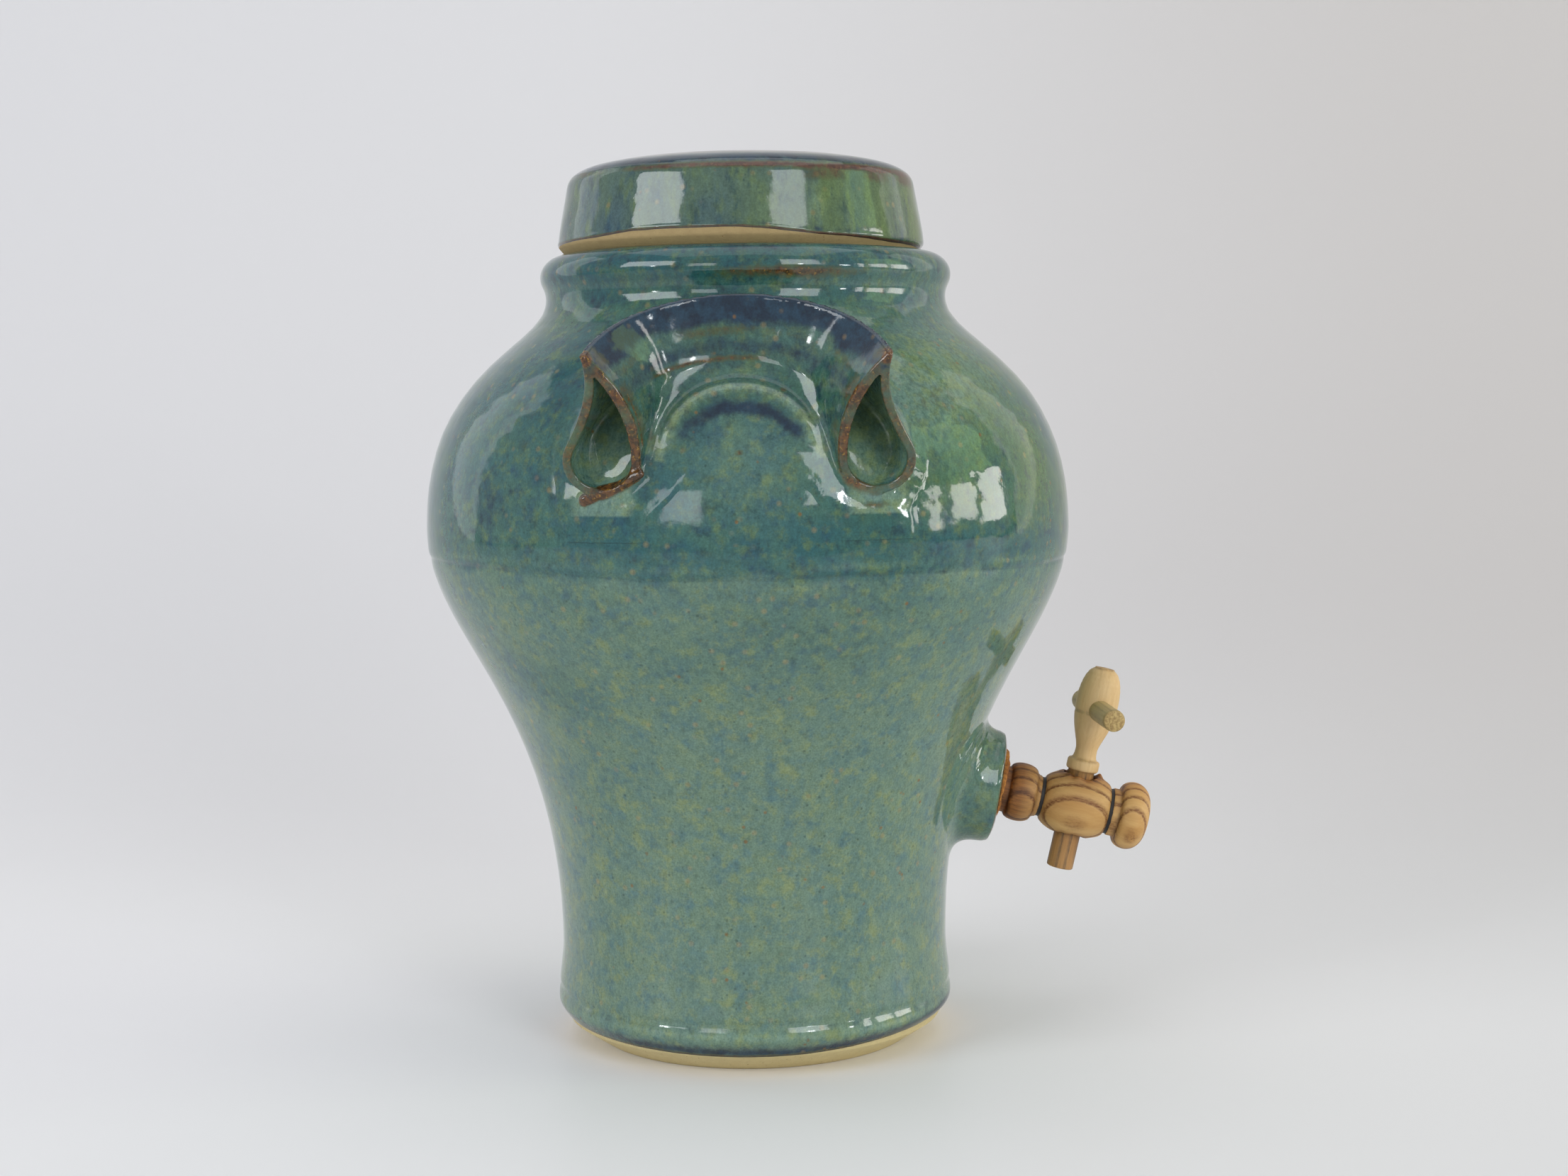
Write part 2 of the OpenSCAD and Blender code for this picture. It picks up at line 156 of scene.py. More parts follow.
class Flat:
    """A signed distance to a polygon, looked up on a fine grid."""

    def __init__(self, poly, lo, hi, step):
        self.lo, self.step = np.array(lo, float), step
        nx, ny = (int((h - l) / step) + 2 for l, h in zip(lo, hi))
        x, y = np.meshgrid(lo[0] + step * np.arange(nx), lo[1] + step * np.arange(ny), indexing="ij")
        self.v = poly_distance(np.stack([x.ravel(), y.ravel()], 1), np.asarray(poly)).reshape(nx, ny)

    def __call__(self, x, y):
        v = self.v
        i = np.clip((x - self.lo[0]) / self.step, 0, v.shape[0] - 1.001)
        j = np.clip((y - self.lo[1]) / self.step, 0, v.shape[1] - 1.001)
        i0, j0 = i.astype(int), j.astype(int)
        fi, fj = i - i0, j - j0
        return ((v[i0, j0] * (1 - fi) + v[i0 + 1, j0] * fi) * (1 - fj)
                + (v[i0, j0 + 1] * (1 - fi) + v[i0 + 1, j0 + 1] * fi) * fj)


def smin(a, b, k):
    """The smaller of two distances, rounded over k mm."""
    h = unit(0.5 + 0.5 * (b - a) / k)
    return b * (1 - h) + a * h - k * h * (1 - h)


def smax(a, b, k):
    return -smin(-a, -b, k)


def step01(a, b, x):
    t = unit((np.asarray(x, float) - a) / (b - a))
    return t * t * (3 - 2 * t)


def bump(x, width):
    return np.exp(-(x / width) ** 2)


def wave(p, size, seed):
    """A smooth random value in about -1..1 that varies over `size` mm."""
    rng = np.random.RandomState(seed)
    out = np.zeros(len(p))
    for _ in range(7):
        d = rng.normal(size=3)
        d *= (0.7 + 0.8 * rng.rand()) * math.tau / (size * 2 * np.linalg.norm(d))
        out += np.sin(p @ d + rng.rand() * 6.283)
    return out / 3.2


def nets(field, lo, hi, step):
    """Quads on the zero level of a field, with their corners moved onto it."""
    lo, hi = np.array(lo, float), np.array(hi, float)
    n = np.ceil((hi - lo) / step).astype(int) + 1
    grid = np.stack(np.meshgrid(*(lo[i] + step * np.arange(n[i]) for i in range(3)), indexing="ij"), -1)
    v = field(grid.reshape(-1, 3)).reshape(n)
    total, count = np.zeros((*(n - 1), 3)), np.zeros(n - 1)
    crossings = []
    for axis in range(3):
        a, b = np.take(v, range(n[axis] - 1), axis), np.take(v, range(1, n[axis]), axis)
        cross = (a < 0) != (b < 0)
        crossings.append((cross, a < 0))
        t = np.where(cross, a / np.where(cross, a - b, 1), 0)
        p = np.take(grid, range(n[axis] - 1), axis).copy()
        p[..., axis] += t * step
        o = [i for i in range(3) if i != axis]
        for da in (0, 1):
            for db in (0, 1):
                sl = [slice(None)] * 3
                sl[o[0]] = slice(da, n[o[0]] - 1 + da)
                sl[o[1]] = slice(db, n[o[1]] - 1 + db)
                m = cross[tuple(sl)]
                total += np.where(m[..., None], p[tuple(sl)], 0)
                count += m
    active = count > 0
    index = np.full(n - 1, -1)
    index[active] = np.arange(active.sum())
    verts = total[active] / count[active][:, None]
    faces = []
    for axis in range(3):
        cross, neg = crossings[axis]
        o = [i for i in range(3) if i != axis]
        sl = [slice(None)] * 3
        sl[o[0]] = slice(1, n[o[0]] - 1)
        sl[o[1]] = slice(1, n[o[1]] - 1)
        e = np.argwhere(cross[tuple(sl)])
        e[:, o[0]] += 1
        e[:, o[1]] += 1
        inside_first = neg[tuple(e.T)]
        ring = []
        for da, db in ((-1, -1), (0, -1), (0, 0), (-1, 0)):
            c = e.copy()
            c[:, o[0]] += da
            c[:, o[1]] += db
            ring.append(index[tuple(c.T)])
        q = np.stack(ring, 1)
        flip = inside_first if axis != 1 else ~inside_first
        q[~flip] = q[~flip][:, ::-1]
        faces.append(q)
    faces = np.concatenate(faces)
    eps = 0.08
    for _ in range(4):
        slope = np.stack([field(verts + d) - field(verts - d) for d in np.eye(3) * eps], 1) / (2 * eps)
        move = -slope * (field(verts) / np.maximum((slope * slope).sum(1), 0.05))[:, None]
        far = np.linalg.norm(move, axis=1)
        move *= np.minimum(1, step * 0.4 / np.maximum(far, 1e-9))[:, None]
        verts = verts + move
    return verts, faces


# ---- meshes

def make(name, verts, faces, material, body, nodes, attrs=None):
    """A piece from points in mm, with its masks, in the place of CAD nodes."""
    mesh = bpy.data.meshes.new(name)
    verts = np.asarray(verts, float) * MM
    mesh.from_pydata(verts.tolist(), [], [list(map(int, f)) for f in faces])
    mesh.validate()
    mesh.update()
    mesh.polygons.foreach_set("use_smooth", [True] * len(mesh.polygons))
    for mask, values in (attrs or {}).items():
        layer = mesh.attributes.new(mask, "FLOAT", "POINT")
        layer.data.foreach_set("value", np.asarray(values, np.float32))
    mesh.materials.append(material)
    o = bpy.data.objects.new(name, mesh)
    bpy.context.scene.collection.objects.link(o)
    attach(o, body)
    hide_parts(*nodes)


def turned(profile, segments):
    """A profile of (radius, height) turned about Z."""
    profile = np.asarray(profile, float)
    on_axis = profile[:, 0] < 1e-6
    verts, first = [], []
    a = np.linspace(0, math.tau, segments, endpoint=False)
    for (r, z), pole in zip(profile, on_axis):
        first.append(len(verts))
        verts.extend([(0, 0, z)] if pole else zip(r * np.cos(a), r * np.sin(a), np.full(segments, z)))
    faces = []
    for i in range(len(profile) - 1):
        p, q = first[i], first[i + 1]
        for k in range(segments):
            m = (k + 1) % segments
            if not on_axis[i] and not on_axis[i + 1]:
                faces.append((p + k, p + m, q + m, q + k))
            elif not on_axis[i]:
                faces.append((p + k, p + m, q))
            elif not on_axis[i + 1]:
                faces.append((p, q + m, q + k))
    return np.array(verts, float), faces


def tilted(angle, origin):
    """Columns x, y, z of a frame whose z points to +X, turned down by an angle."""
    c, s = math.cos(math.pi / 2 + angle), math.sin(math.pi / 2 + angle)
    return np.array([[c, 0, s], [0, 1, 0], [-s, 0, c]], float), np.array(origin, float)


# Frames of the tap, the boss and the key: three columns and an origin
TAP_M, TAP_O = tilted(TILT, (WALL_AT_TAP + BOSS_OUT, 0, TAP_Z))
BOSS_M, BOSS_O = tilted(BOSS_TILT, (WALL_AT_TAP + BOSS_OUT, 0, TAP_Z))
KEY_O = TAP_O + TAP_M @ vec(0, 0, KEY_T)
KEY_M = np.stack([TAP_M @ vec(0, 0, 1), vec(0, 1, 0), TAP_M @ vec(-1, 0, 0)], 1)


def place(verts, m, o):
    """From a frame to the crock's own axes."""
    return verts @ m.T + o


def local(points, m, o):
    """From the crock's own axes to a frame."""
    return (points - o) @ m


# ---- colours and nodes

def rgb(h):
    c = [int(h[i:i + 2], 16) / 255 for i in (0, 2, 4)]
    return tuple((x / 12.92 if x <= 0.04045 else ((x + 0.055) / 1.055) ** 2.4) for x in c) + (1.0,)


class Nodes:
    """Short calls that build the nodes of a material or world. A text stands for a colour."""

    def __init__(self, owner, shader, output):
        owner.use_nodes = True
        self.owner, self.t = owner, owner.node_tree
        self.t.nodes.clear()
        self.shader = self.t.nodes.new(shader)
        self.t.links.new(self.shader.outputs[0], self.t.nodes.new(output).inputs[0])
        self.co = self.t.nodes.new("ShaderNodeTexCoord").outputs["Object"]

    def set(self, socket, value):
        if isinstance(value, bpy.types.NodeSocket):
            self.t.links.new(value, socket)
        else:
            socket.default_value = rgb(value) if isinstance(value, str) else value

    def finish(self, **inputs):
        """Set the shader's inputs by name, with _ for a space."""
        for key, value in inputs.items():
            self.set(self.shader.inputs[key.replace("_", " ")], value)
        return self.owner

    def node(self, kind, inputs, **settings):
        n = self.t.nodes.new(kind)
        for key, value in settings.items():
            setattr(n, key, value)
        for key, value in inputs.items():
            self.set(n.inputs[key], value)
        return n.outputs

    def mapped(self, scale=(1, 1, 1), rotation=(0, 0, 0), co=None):
        return self.node("ShaderNodeMapping", {"Vector": co or self.co, "Scale": scale, "Rotation": rotation})[0]

    def noise(self, scale, detail=3.0, rough=0.6, co=None, seed=0.0):
        inputs = {"Vector": co or self.co, "W": seed, "Scale": scale, "Detail": detail, "Roughness": rough}
        return self.node("ShaderNodeTexNoise", inputs, noise_dimensions="4D")["Fac"]

    def spots(self, scale):
        """Distance to the nearest spot, and three random values per spot."""
        spot = self.node("ShaderNodeTexVoronoi", {"Vector": self.co, "Scale": scale})
        return spot["Distance"], self.split(spot["Color"])

    def attr(self, name):
        return self.node("ShaderNodeAttribute", {}, attribute_name=name)["Fac"]

    def math(self, operation, a, b):
        return self.node("ShaderNodeMath", {0: a, 1: b}, operation=operation)[0]

    def times(self, a, b):
        return self.math("MULTIPLY", a, b)

    def plus(self, a, b):
        return self.math("ADD", a, b)

    def minus(self, a, b):
        return self.math("SUBTRACT", a, b)

    def swing(self, noise, amount):
        """A noise brought round zero."""
        return self.times(self.minus(noise, 0.5), amount)

    def span(self, value, a, b, lo=0.0, hi=1.0, smooth=True):
        inputs = {"Value": value, "From Min": a, "From Max": b, "To Min": lo, "To Max": hi}
        return self.node("ShaderNodeMapRange", inputs, interpolation_type="SMOOTHSTEP" if smooth else "LINEAR")[0]

    def mix(self, fac, a, b, blend="MIX"):
        return self.node("ShaderNodeMix", {"Factor": fac, 6: a, 7: b}, data_type="RGBA", blend_type=blend)[2]

    def shade(self, fac, base, value):
        """Darker and lighter by a value."""
        return self.mix(fac, base, self.mix(value, (0, 0, 0, 1), (1, 1, 1, 1)), "SOFT_LIGHT")

    def split(self, co=None):
        return self.node("ShaderNodeSeparateXYZ", {0: co or self.co})

    def bumped(self, height, strength, distance, **normal):
        """A normal; `distance` is in metres. It can stand on another one, given as Normal."""
        inputs = {"Height": height, "Strength": strength, "Distance": distance}
        return self.node("ShaderNodeBump", inputs | normal)[0]


def material(name):
    return Nodes(bpy.data.materials.new(name), "ShaderNodeBsdfPrincipled", "ShaderNodeOutputMaterial")


def glaze_material(name, seed=0.0, green="2f5e57", teal="1c5459", olive="45672f", streaks=1.0,
                   iron=("3a2413", "6a431f", "98702a"), sand=("c0ac7a", "e0d09c")):
    """Mottled iron and cobalt glaze that thins to brown on edges, over buff clay.

    The masks say where: high (the darker upper coat), olive, deep (blue pools, and painted shade), pale (thin and
    green, and painted light), rust (worn through to iron) and clay (bare). Noise breaks their edges up.
    """
    n = material(name)
    stood = n.mapped(scale=(1, 1, streaks))
    cloud = n.noise(70, co=stood, seed=seed + 1.3)
    blotch_y, blotch_b, blotch_d = (
        n.noise(scale, 3, 0.62, co=stood, seed=seed + i) for scale, i in ((200, 2.1), (170, 5.7), (230, 8.9)))
    fine = n.noise(620, co=n.mapped(scale=(1, 1, 0.6)), seed=seed + 3.3)
    grain = n.noise(1500, 2, seed=seed + 4.4)
    # the two coats and their blotches
    high, tinted = n.attr("high"), n.attr("olive")
    lower = n.mix(n.span(cloud, 0.36, 0.64), "6a836c", "5f7c70")
    upper = n.mix(tinted, n.mix(n.span(cloud, 0.36, 0.64), green, teal), olive)
    base = n.mix(high, lower, upper)
    yellow = n.times(n.span(blotch_y, 0.47, 0.72), 0.62)
    base = n.mix(yellow, base, n.mix(high, "86915a", "5e743d"))
    blue = n.times(n.span(blotch_b, 0.48, 0.72), n.span(tinted, 0.0, 1.0, 0.75, 0.25))
    base = n.mix(blue, base, n.mix(high, "4c7076", "0c3a52"))
    dark = n.times(n.span(blotch_d, 0.52, 0.72), n.span(high, 0.0, 1.0, 0.18, 0.6))
    base = n.mix(dark, base, "09333d")
    # pale: thin glaze, and painted light where the masks put it
    pale = n.times(n.attr("pale"), n.span(fine, 0.3, 0.6, 0.6, 1.0))
    base = n.mix(pale, base, n.mix(n.span(blotch_y, 0.4, 0.6), "7f9c88", "8b9f70"))
    # deep: pooled glaze, and painted shade where the masks put it
    pools_and_shade = n.plus(n.attr("deep"), n.swing(blotch_d, 0.8))
    base = n.mix(n.span(pools_and_shade, 0.22, 0.95), base, n.mix(n.span(blotch_b, 0.42, 0.6), "1d394c", "132739"))
    # specks: ragged brown, soft sand, dark
    for scale, ragged, size, pick, few, amount, colour in (
            (150, 0.12, (0.20, 0.09), 0, (0.70, 0.82), 0.75, "7d5a28"),
            (230, 0.0, (0.34, 0.08), 2, (0.72, 0.9), 0.32, "a88a52"),
            (380, 0.0, (0.24, 0.10), 1, (0.66, 0.85), 0.45, "1f3a38")):
        near, cell = n.spots(scale)
        near = n.plus(near, n.times(fine, ragged)) if ragged else near
        speck = n.times(n.span(near, *size), n.span(cell[pick], *few))
        base = n.mix(n.times(speck, amount), base, colour)
    for amount, noise in ((0.24, fine), (0.30, grain)):
        base = n.shade(amount, base, n.span(noise, 0.25, 0.75, smooth=False))
    # worn edges
    worn = n.plus(n.attr("rust"), n.swing(n.noise(420, 4, 0.65, seed=seed + 6.1), 0.7))
    brown = n.mix(n.span(n.noise(560, seed=seed + 7.7), 0.40, 0.60), iron[0], iron[1])
    brown = n.mix(n.span(n.noise(800, 2, seed=seed + 9.7), 0.56, 0.68), brown, iron[2])
    base = n.mix(n.times(n.span(worn, 0.18, 0.44), 0.55), base, "525530")
    base = n.mix(n.times(n.span(worn, 0.36, 0.75), 0.93), base, brown)
    # bare clay, with the dark line where the glaze stops
    edge = n.plus(n.attr("clay"), n.swing(n.noise(90, 3, 0.5, seed=seed + 11), 0.22))
    bare = n.span(edge, 0.47, 0.53)
    line = n.times(n.span(edge, 0.26, 0.45), n.span(edge, 0.56, 0.47))
    base = n.mix(n.times(line, 0.85), base, "35221d")
    grit = n.mix(n.noise(380, 5, 0.7, seed=seed + 12), sand[0], sand[1])
    grit = n.mix(n.span(n.noise(900, 2, 0.5, seed=seed + 13), 0.66, 0.74), grit, "8a6a3e")
    # the surface: wavy, with a fine orange peel, and gritty where it is bare
    gloss = n.span(n.noise(30, 3, 0.5, seed=seed + 14), 0.3, 0.7, 0.05, 0.10)
    wavy = n.bumped(n.noise(75, 2, 0.5, seed=seed + 15), 0.35, 0.0006)
    peel = n.bumped(n.noise(330, 2, 0.5, seed=seed + 16), 0.16, 0.0002, Normal=wavy)
    gritty = n.bumped(n.times(n.noise(1500, seed=seed + 17), bare), 0.5, 0.0003, Normal=peel)
    return n.finish(Base_Color=n.mix(bare, base, grit), Roughness=n.plus(n.times(bare, 0.7), gloss), IOR=1.52,
                    Normal=gritty)


def wood_material(name, grain_m, grain_o, light, mid, dark, ring=3.95, first=2.1, contrast=1.0, seed=0.0,
                  stain=("6c3c10", "985e24")):
    """Ring-porous wood. The grain frame's z runs along the fibres and its x across the rings.

    Each ring starts with a band of open pores, sharp towards +x: one of them `first` mm from the frame's origin.
    """
    n = material(name)
    moved = n.node("ShaderNodeVectorMath", {0: n.co, 1: tuple(v * MM for v in grain_o)}, operation="SUBTRACT")[0]
    g = n.mapped(rotation=tuple(Matrix(grain_m.T.tolist()).to_euler()), co=moved)
    x, y, _ = n.split(g)
    along = n.mapped(scale=(1, 1, 0.16), co=g)
    # the rings, bowed and waving; `rings` runs from 0 to 1 through each
    warp = n.swing(n.noise(60, 2, 0.5, co=along, seed=seed + 1), 0.0026)
    bow = n.times(n.times(y, y), 5.0)
    frayed = n.swing(n.noise(1100, 2, co=g, seed=seed + 9), 0.0006)
    depth = n.plus(n.plus(n.plus(x, bow), warp), frayed)
    rings = n.math("FRACT", n.plus(n.times(depth, -1 / (ring * MM)), 20 + first / ring), 0.0)
    early = n.times(n.span(rings, 0.0, 0.15), n.span(rings, 0.55, 0.18))
    streak = n.noise(1300, co=n.mapped(scale=(1, 1, 0.05), co=g), seed=seed + 2)
    pores = n.noise(1700, 2, co=n.mapped(scale=(1, 1, 0.2), co=g), seed=seed + 3)
    wide = n.noise(90, 2, 0.5, co=along, seed=seed + 4)
    base = n.mix(n.span(wide, 0.3, 0.7), light, mid)
    base = n.mix(n.times(n.span(rings, 0.4, 0.95, smooth=False), 0.3 * contrast), base, mid)
    hit = n.times(early, n.span(pores, 0.36, 0.60, 0.5, 1.0))
    base = n.shade(0.30, n.mix(n.times(hit, contrast), base, dark), streak)
    # wet by vinegar, cut across, dirty, burnt
    wet = n.mix(hit, n.mix(n.span(streak, 0.3, 0.7), stain[0], stain[1]), "47260e")
    base = n.mix(n.times(n.attr("stain"), 0.88), base, wet)
    pith = n.mix(n.span(n.noise(900, co=g, seed=seed + 8), 0.40, 0.62), mid, dark)
    base = n.mix(n.times(n.attr("endgrain"), 0.75), base, pith)
    dirt = n.times(n.attr("grime"), n.span(n.noise(420, seed=seed + 5), 0.3, 0.6))
    base = n.mix(dirt, base, "3c2413")
    char = n.plus(n.attr("burnt"), n.swing(n.noise(700, 2, seed=seed + 6), 0.5))
    base = n.mix(n.span(char, 0.35, 0.6), base, "17110f")
    height = n.minus(n.times(streak, 0.5), n.times(hit, 0.6))
    return n.finish(Base_Color=base, Roughness=0.55, Normal=n.bumped(height, 0.35, 0.0003))


def cork_material(name):
    n = material(name)
    cell = n.noise(420, 4, 0.7, seed=1)
    base = n.mix(n.span(cell, 0.35, 0.65), "865018", "bc7e34")
    base = n.mix(n.span(n.noise(160, seed=2), 0.58, 0.7), base, "563016")
    base = n.mix(n.span(n.noise(1500, 2, 0.5, seed=3), 0.62, 0.72), base, "3a2410")
    return n.finish(Base_Color=base, Roughness=0.8, Normal=n.bumped(cell, 0.7, 0.0006))


glaze = glaze_material("mottled_glaze")
lid_glaze = glaze_material("lid_glaze", seed=20.0, green="4a6254", teal="3b555b", olive="576c38", streaks=0.4,
                           iron=("4a2c26", "5c3a2c", "6e4a32"), sand=("967f56", "b8a070"))


# ---- crock

# Heights around the pot, by the angle from +X in degrees: the turned line below the shoulder
GROOVE_AT = (-180, -157, -137, -121, -106, -85, -74, -63, -50, -34, 0, 60, 120, 180)
GROOVE_Z = (177.6, 177.8, 177.5, 176.5, 175.0, 175.0, 176.0, 176.0, 175.5, 174.8, 175.2, 176.2, 177.0, 177.6)
# A few finger dents in the shoulder: x and z of the middle, radius, depth
DENTS = ((27, 190, 9, 0.5), (-30, 208, 16, 0.5), (62, 212, 14, 0.45), (-78, 214, 18, 0.5), (6, 200, 12, 0.25))


def around(phi, at, height):
    return np.interp(np.degrees(phi), at, height)


def foot_line(phi):
    """Height at which the glaze stops above the foot."""
    c = np.cos(phi)
    return FOOT_BAND_H + 0.2 + 3.2 * c * c + c * np.abs(c)


def to_front(p):
    """The same place on the front half: the rear handle is the front one turned half round."""
    return np.where(p[:, 1:2] > 0, p * vec(-1, -1, 1), p)


def wall_shift(p):
    """How far the thrown wall stands out from its even profile."""
    x, y, z = p.T
    phi = np.arctan2(y, x)
    d = 0.03 * np.sin(z * math.tau / 6.3 + 0.5 * wave(p, 80, 5)) * step01(190, 215, z) * step01(268, 255, z)
    d += 0.012 * np.sin(z * math.tau / 9.0) * step01(30, 50, z) * step01(176, 165, z)
    groove = z - around(phi, GROOVE_AT, GROOVE_Z)
    d -= 0.32 * bump(groove, 0.9) + 0.15 * bump(groove + 1.4, 1.6)
    d += 0.10 * bump(groove - 2.4, 1.8)
    # the crease above the foot's roll, and the thick edge of the glaze on it
    rolled = 0.35 + 0.65 * bump(np.degrees(phi) + 58, 34)
    d += (0.25 + 0.7 * rolled) * bump(z - 13.0, 2.7) - 0.65 * bump(z - 18.6, 1.1)
    d -= 0.14 * bump(z - 259.5, 0.9) + 0.12 * bump(z - 264.2, 0.8)
    d += 0.14 * wave(p, 60, 6) * step01(5, 40, z)
    d += 0.05 * wave(p, 11, 7) * step01(186, 205, z) * step01(266, 250, z)
    slanted = np.sin((z + 0.8 * x) * math.tau / 5.5 + 2 * wave(p, 20, 10))
    d += 0.10 * slanted * bump(x - 66, 16) * bump(z - 208, 14) * (y < 0)
    for dx, dz, radius, depth in DENTS:
        d -= depth * bump(np.hypot(x - dx, z - dz), radius) * (y < 0)
    d += 0.28 * step01(-0.7, 0.7, z - foot_line(phi)) * step01(FOOT_BAND_H + 14, FOOT_BAND_H + 6, z)
    return d - 0.08


def crock_masks(p):
    """Masks of the glaze over the crock and what is luted to it, painted light and shade among them, from the place
    alone.
    """
    x, y, z = p.T
    r = np.hypot(x, y)
    phi = np.arctan2(y, x)
    big, mid, small = wave(p, 55, 3), wave(p, 24, 9), wave(p, 9, 4)
    above = z - around(phi, GROOVE_AT, GROOVE_Z)
    high = step01(-4.5, 2.2, above + 1.2 * small + 1.2 * mid) * unit(0.92 + 0.12 * big)
    high *= 1 - 0.45 * bump(np.hypot(x - 2, z - 213), 18) * (y < 0)
    high = np.maximum(high, 0.5 * step01(-15, -75, x) * bump(z - 125, 45) * (0.55 + 0.45 * mid))
    high = np.maximum(high, 0.55 * step01(-60, 2, above) * (0.7 + 0.3 * mid))
    olive = step01(10, 80, x) * step01(182, 200, z) * step01(262, 240, z) * unit(0.55 + 0.5 * mid)
    olive = np.maximum(olive, 0.35 * bump(z - 262, 6) * unit(0.5 + mid))
    line = foot_line(phi)
    clay = unit(0.5 + (line - z) / 2.4) * (r > 40)
    clay = np.maximum(clay, (z < 0.3) * 1.0)
    over = z - line
    deep = 1.0 * bump(over - 1.7, 2.2) * unit(0.75 + 0.35 * wave(p, 30, 8)) * (r > 60)
    deep += 0.30 * bump(z - 17.6, 1.2) + 0.22 * step01(18.5, 16.5, z) * (r > 60)
    deep += 0.38 * bump(above - 0.1, 1.0) + 0.2 * step01(0.2, 0.9, mid) * bump(above - 7, 8)
    # painted shade: a darker blue patch on the left of the shoulder, a dark reflection painted on
    deep += 0.5 * bump(x + 84, 14) * bump(z - 200, 13) * (y < 0)
    deep += 0.46 * bump(z - 267, 5) * unit(0.7 + 0.4 * small) + 0.42 * bump(z - 279, 5)
    # painted shadow: a dark line on the rim just under the lid's edge
    deep += 0.45 * bump(z - 283.6, 1.6) * unit(0.6 + 0.6 * mid)
    rust = 0.72 * bump(z - 275.0, 2.4) * bump(x - 18, 30) * (y < 0) * unit(0.85 + 0.4 * small)
    rust += 0.30 * bump(x - 66, 24) * bump(z - 236, 20) * (y < 0) * unit(0.7 + 0.5 * small)
    rust += 0.55 * bump(over - 0.5, 0.6)
    pale = 0.5 * bump(z - 15.2, 2.2) * unit(0.6 + 0.5 * mid)
    pale += 0.3 * bump(above - 3.0, 1.4) * unit(0.5 + 0.5 * mid)
    # the 0.55 term: paler on the right shoulder, thinner glaze there and partly a painted reflection of the light on
    # that side
    pale += 0.15 * bump(z - 271.8, 1.6) + 0.55 * bump(x - 62, 24) * bump(z - 236, 20) * (y < 0)
    # the soft lip of clay under each handle, the dark blue crescent below it, which is pooled glaze and painted shade,
    # and its yellow ends
    q = to_front(p)
    rho, _, a, qx = ring_coords(q)
    theta = np.degrees(np.arctan2(qx, a))
    near = step01(215, 222, z) * step01(260, 250, z) * (np.abs(qx) < 60) * (a > 0)
    shade = np.interp(np.abs(theta), (0, 42, 60), (23.0, 24.2, 25.2))
    middle = step01(-66, -48, theta) * step01(64, 48, theta)
    deep += 1.1 * near * bump(rho - shade, 3.3) * middle * unit(0.9 + 0.25 * small)
    feet = bump(rho - 29.5, 3.5) * (bump(theta - 52, 11) + bump(theta + 53, 11)) * (a > 0)
    pale += 0.85 * feet * (z > 205) + 0.55 * near * bump(rho - 27.9, 1.5) * (np.abs(theta) < 66)
    # the pot's wall as it is seen through the hollow handle: painted light, paler and less blue there
    tunnel = step01(33, 37, rho) * step01(57, 53, rho) * (a > 0) * (z > 196)
    deep, high, pale = deep * (1 - tunnel), high * (1 - 0.6 * tunnel), np.maximum(pale, 0.4 * tunnel)
    # red specks below the handle
    for spot, size in ((vec(3.5, -105.5, 231.3), 0.8), (vec(0.1, -112.9, 215.7), 0.9), (vec(38, -109, 196), 0.8)):
        rust += 0.9 * bump(np.linalg.norm(p - spot, axis=1), size)
    smear = (q - vec(43.6, -109.2, 198.6)) / vec(6.5, 6.5, 1.4)
    rust += 0.55 * bump(np.linalg.norm(smear, axis=1), 1)
    return dict(high=unit(high), olive=unit(olive), clay=clay, deep=unit(deep), rust=unit(rust), pale=unit(pale))


def thrown(verts):
    """The same points on the uneven wall. The inside and the collar stay as they are."""
    r = np.hypot(verts[:, 0], verts[:, 1])
    outside = r > np.minimum(outer_r(verts[:, 2]) - 2, 200)
    outside &= (verts[:, 2] < LEDGE_Z) & (r > 57.5) & (verts[:, 2] > 0.2)
    k = np.where(outside, (r + wall_shift(verts)) / np.maximum(r, 1), 1)
    return verts * np.stack([k, k, np.ones(len(k))], 1)


def rows_between(points, low, high, step):
    """The part of a profile between two heights, at an even spacing."""
    return resample(points[(points[:, 1] >= low) & (points[:, 1] < high)], step)


foot_face = (0, 0), (30, 0), (54, 0), (57.6, 0), (58.3, 0.12), (58.75, 0.45)
fine_outline = resample(outline, 0.2)
crock_profile = np.concatenate([
    foot_face, resample([(59.3, 0.7), (FOOT_BAND_R, FOOT_BAND_H)], 0.7),
    rows_between(fine_outline, FOOT_BAND_H + 0.3, 15, 0.55),
    rows_between(fine_outline, 15.3, 171, 1.15),
    rows_between(fine_outline, 171.6, 181, 0.4),
    rows_between(fine_outline, 181.6, 284.9, 1.0),
    [(RIM_R, LEDGE_Z), (COLLAR_R + 0.6, LEDGE_Z), (COLLAR_R, LEDGE_Z + 0.6)],
    resample([(COLLAR_R, LEDGE_Z + 1), (COLLAR_R, COLLAR_TOP - 2.2)], 3.5),
    arc((COLLAR_R - 2.2, COLLAR_TOP - 2.2), 2.2, 10, 90, 6),
    arc((MOUTH_R + 2.2, COLLAR_TOP - 2.2), 2.2, 90, 180, 6),
    resample(inner_outline[::-1], 3.0)[:-1], [(0, FLOOR_T)],
])


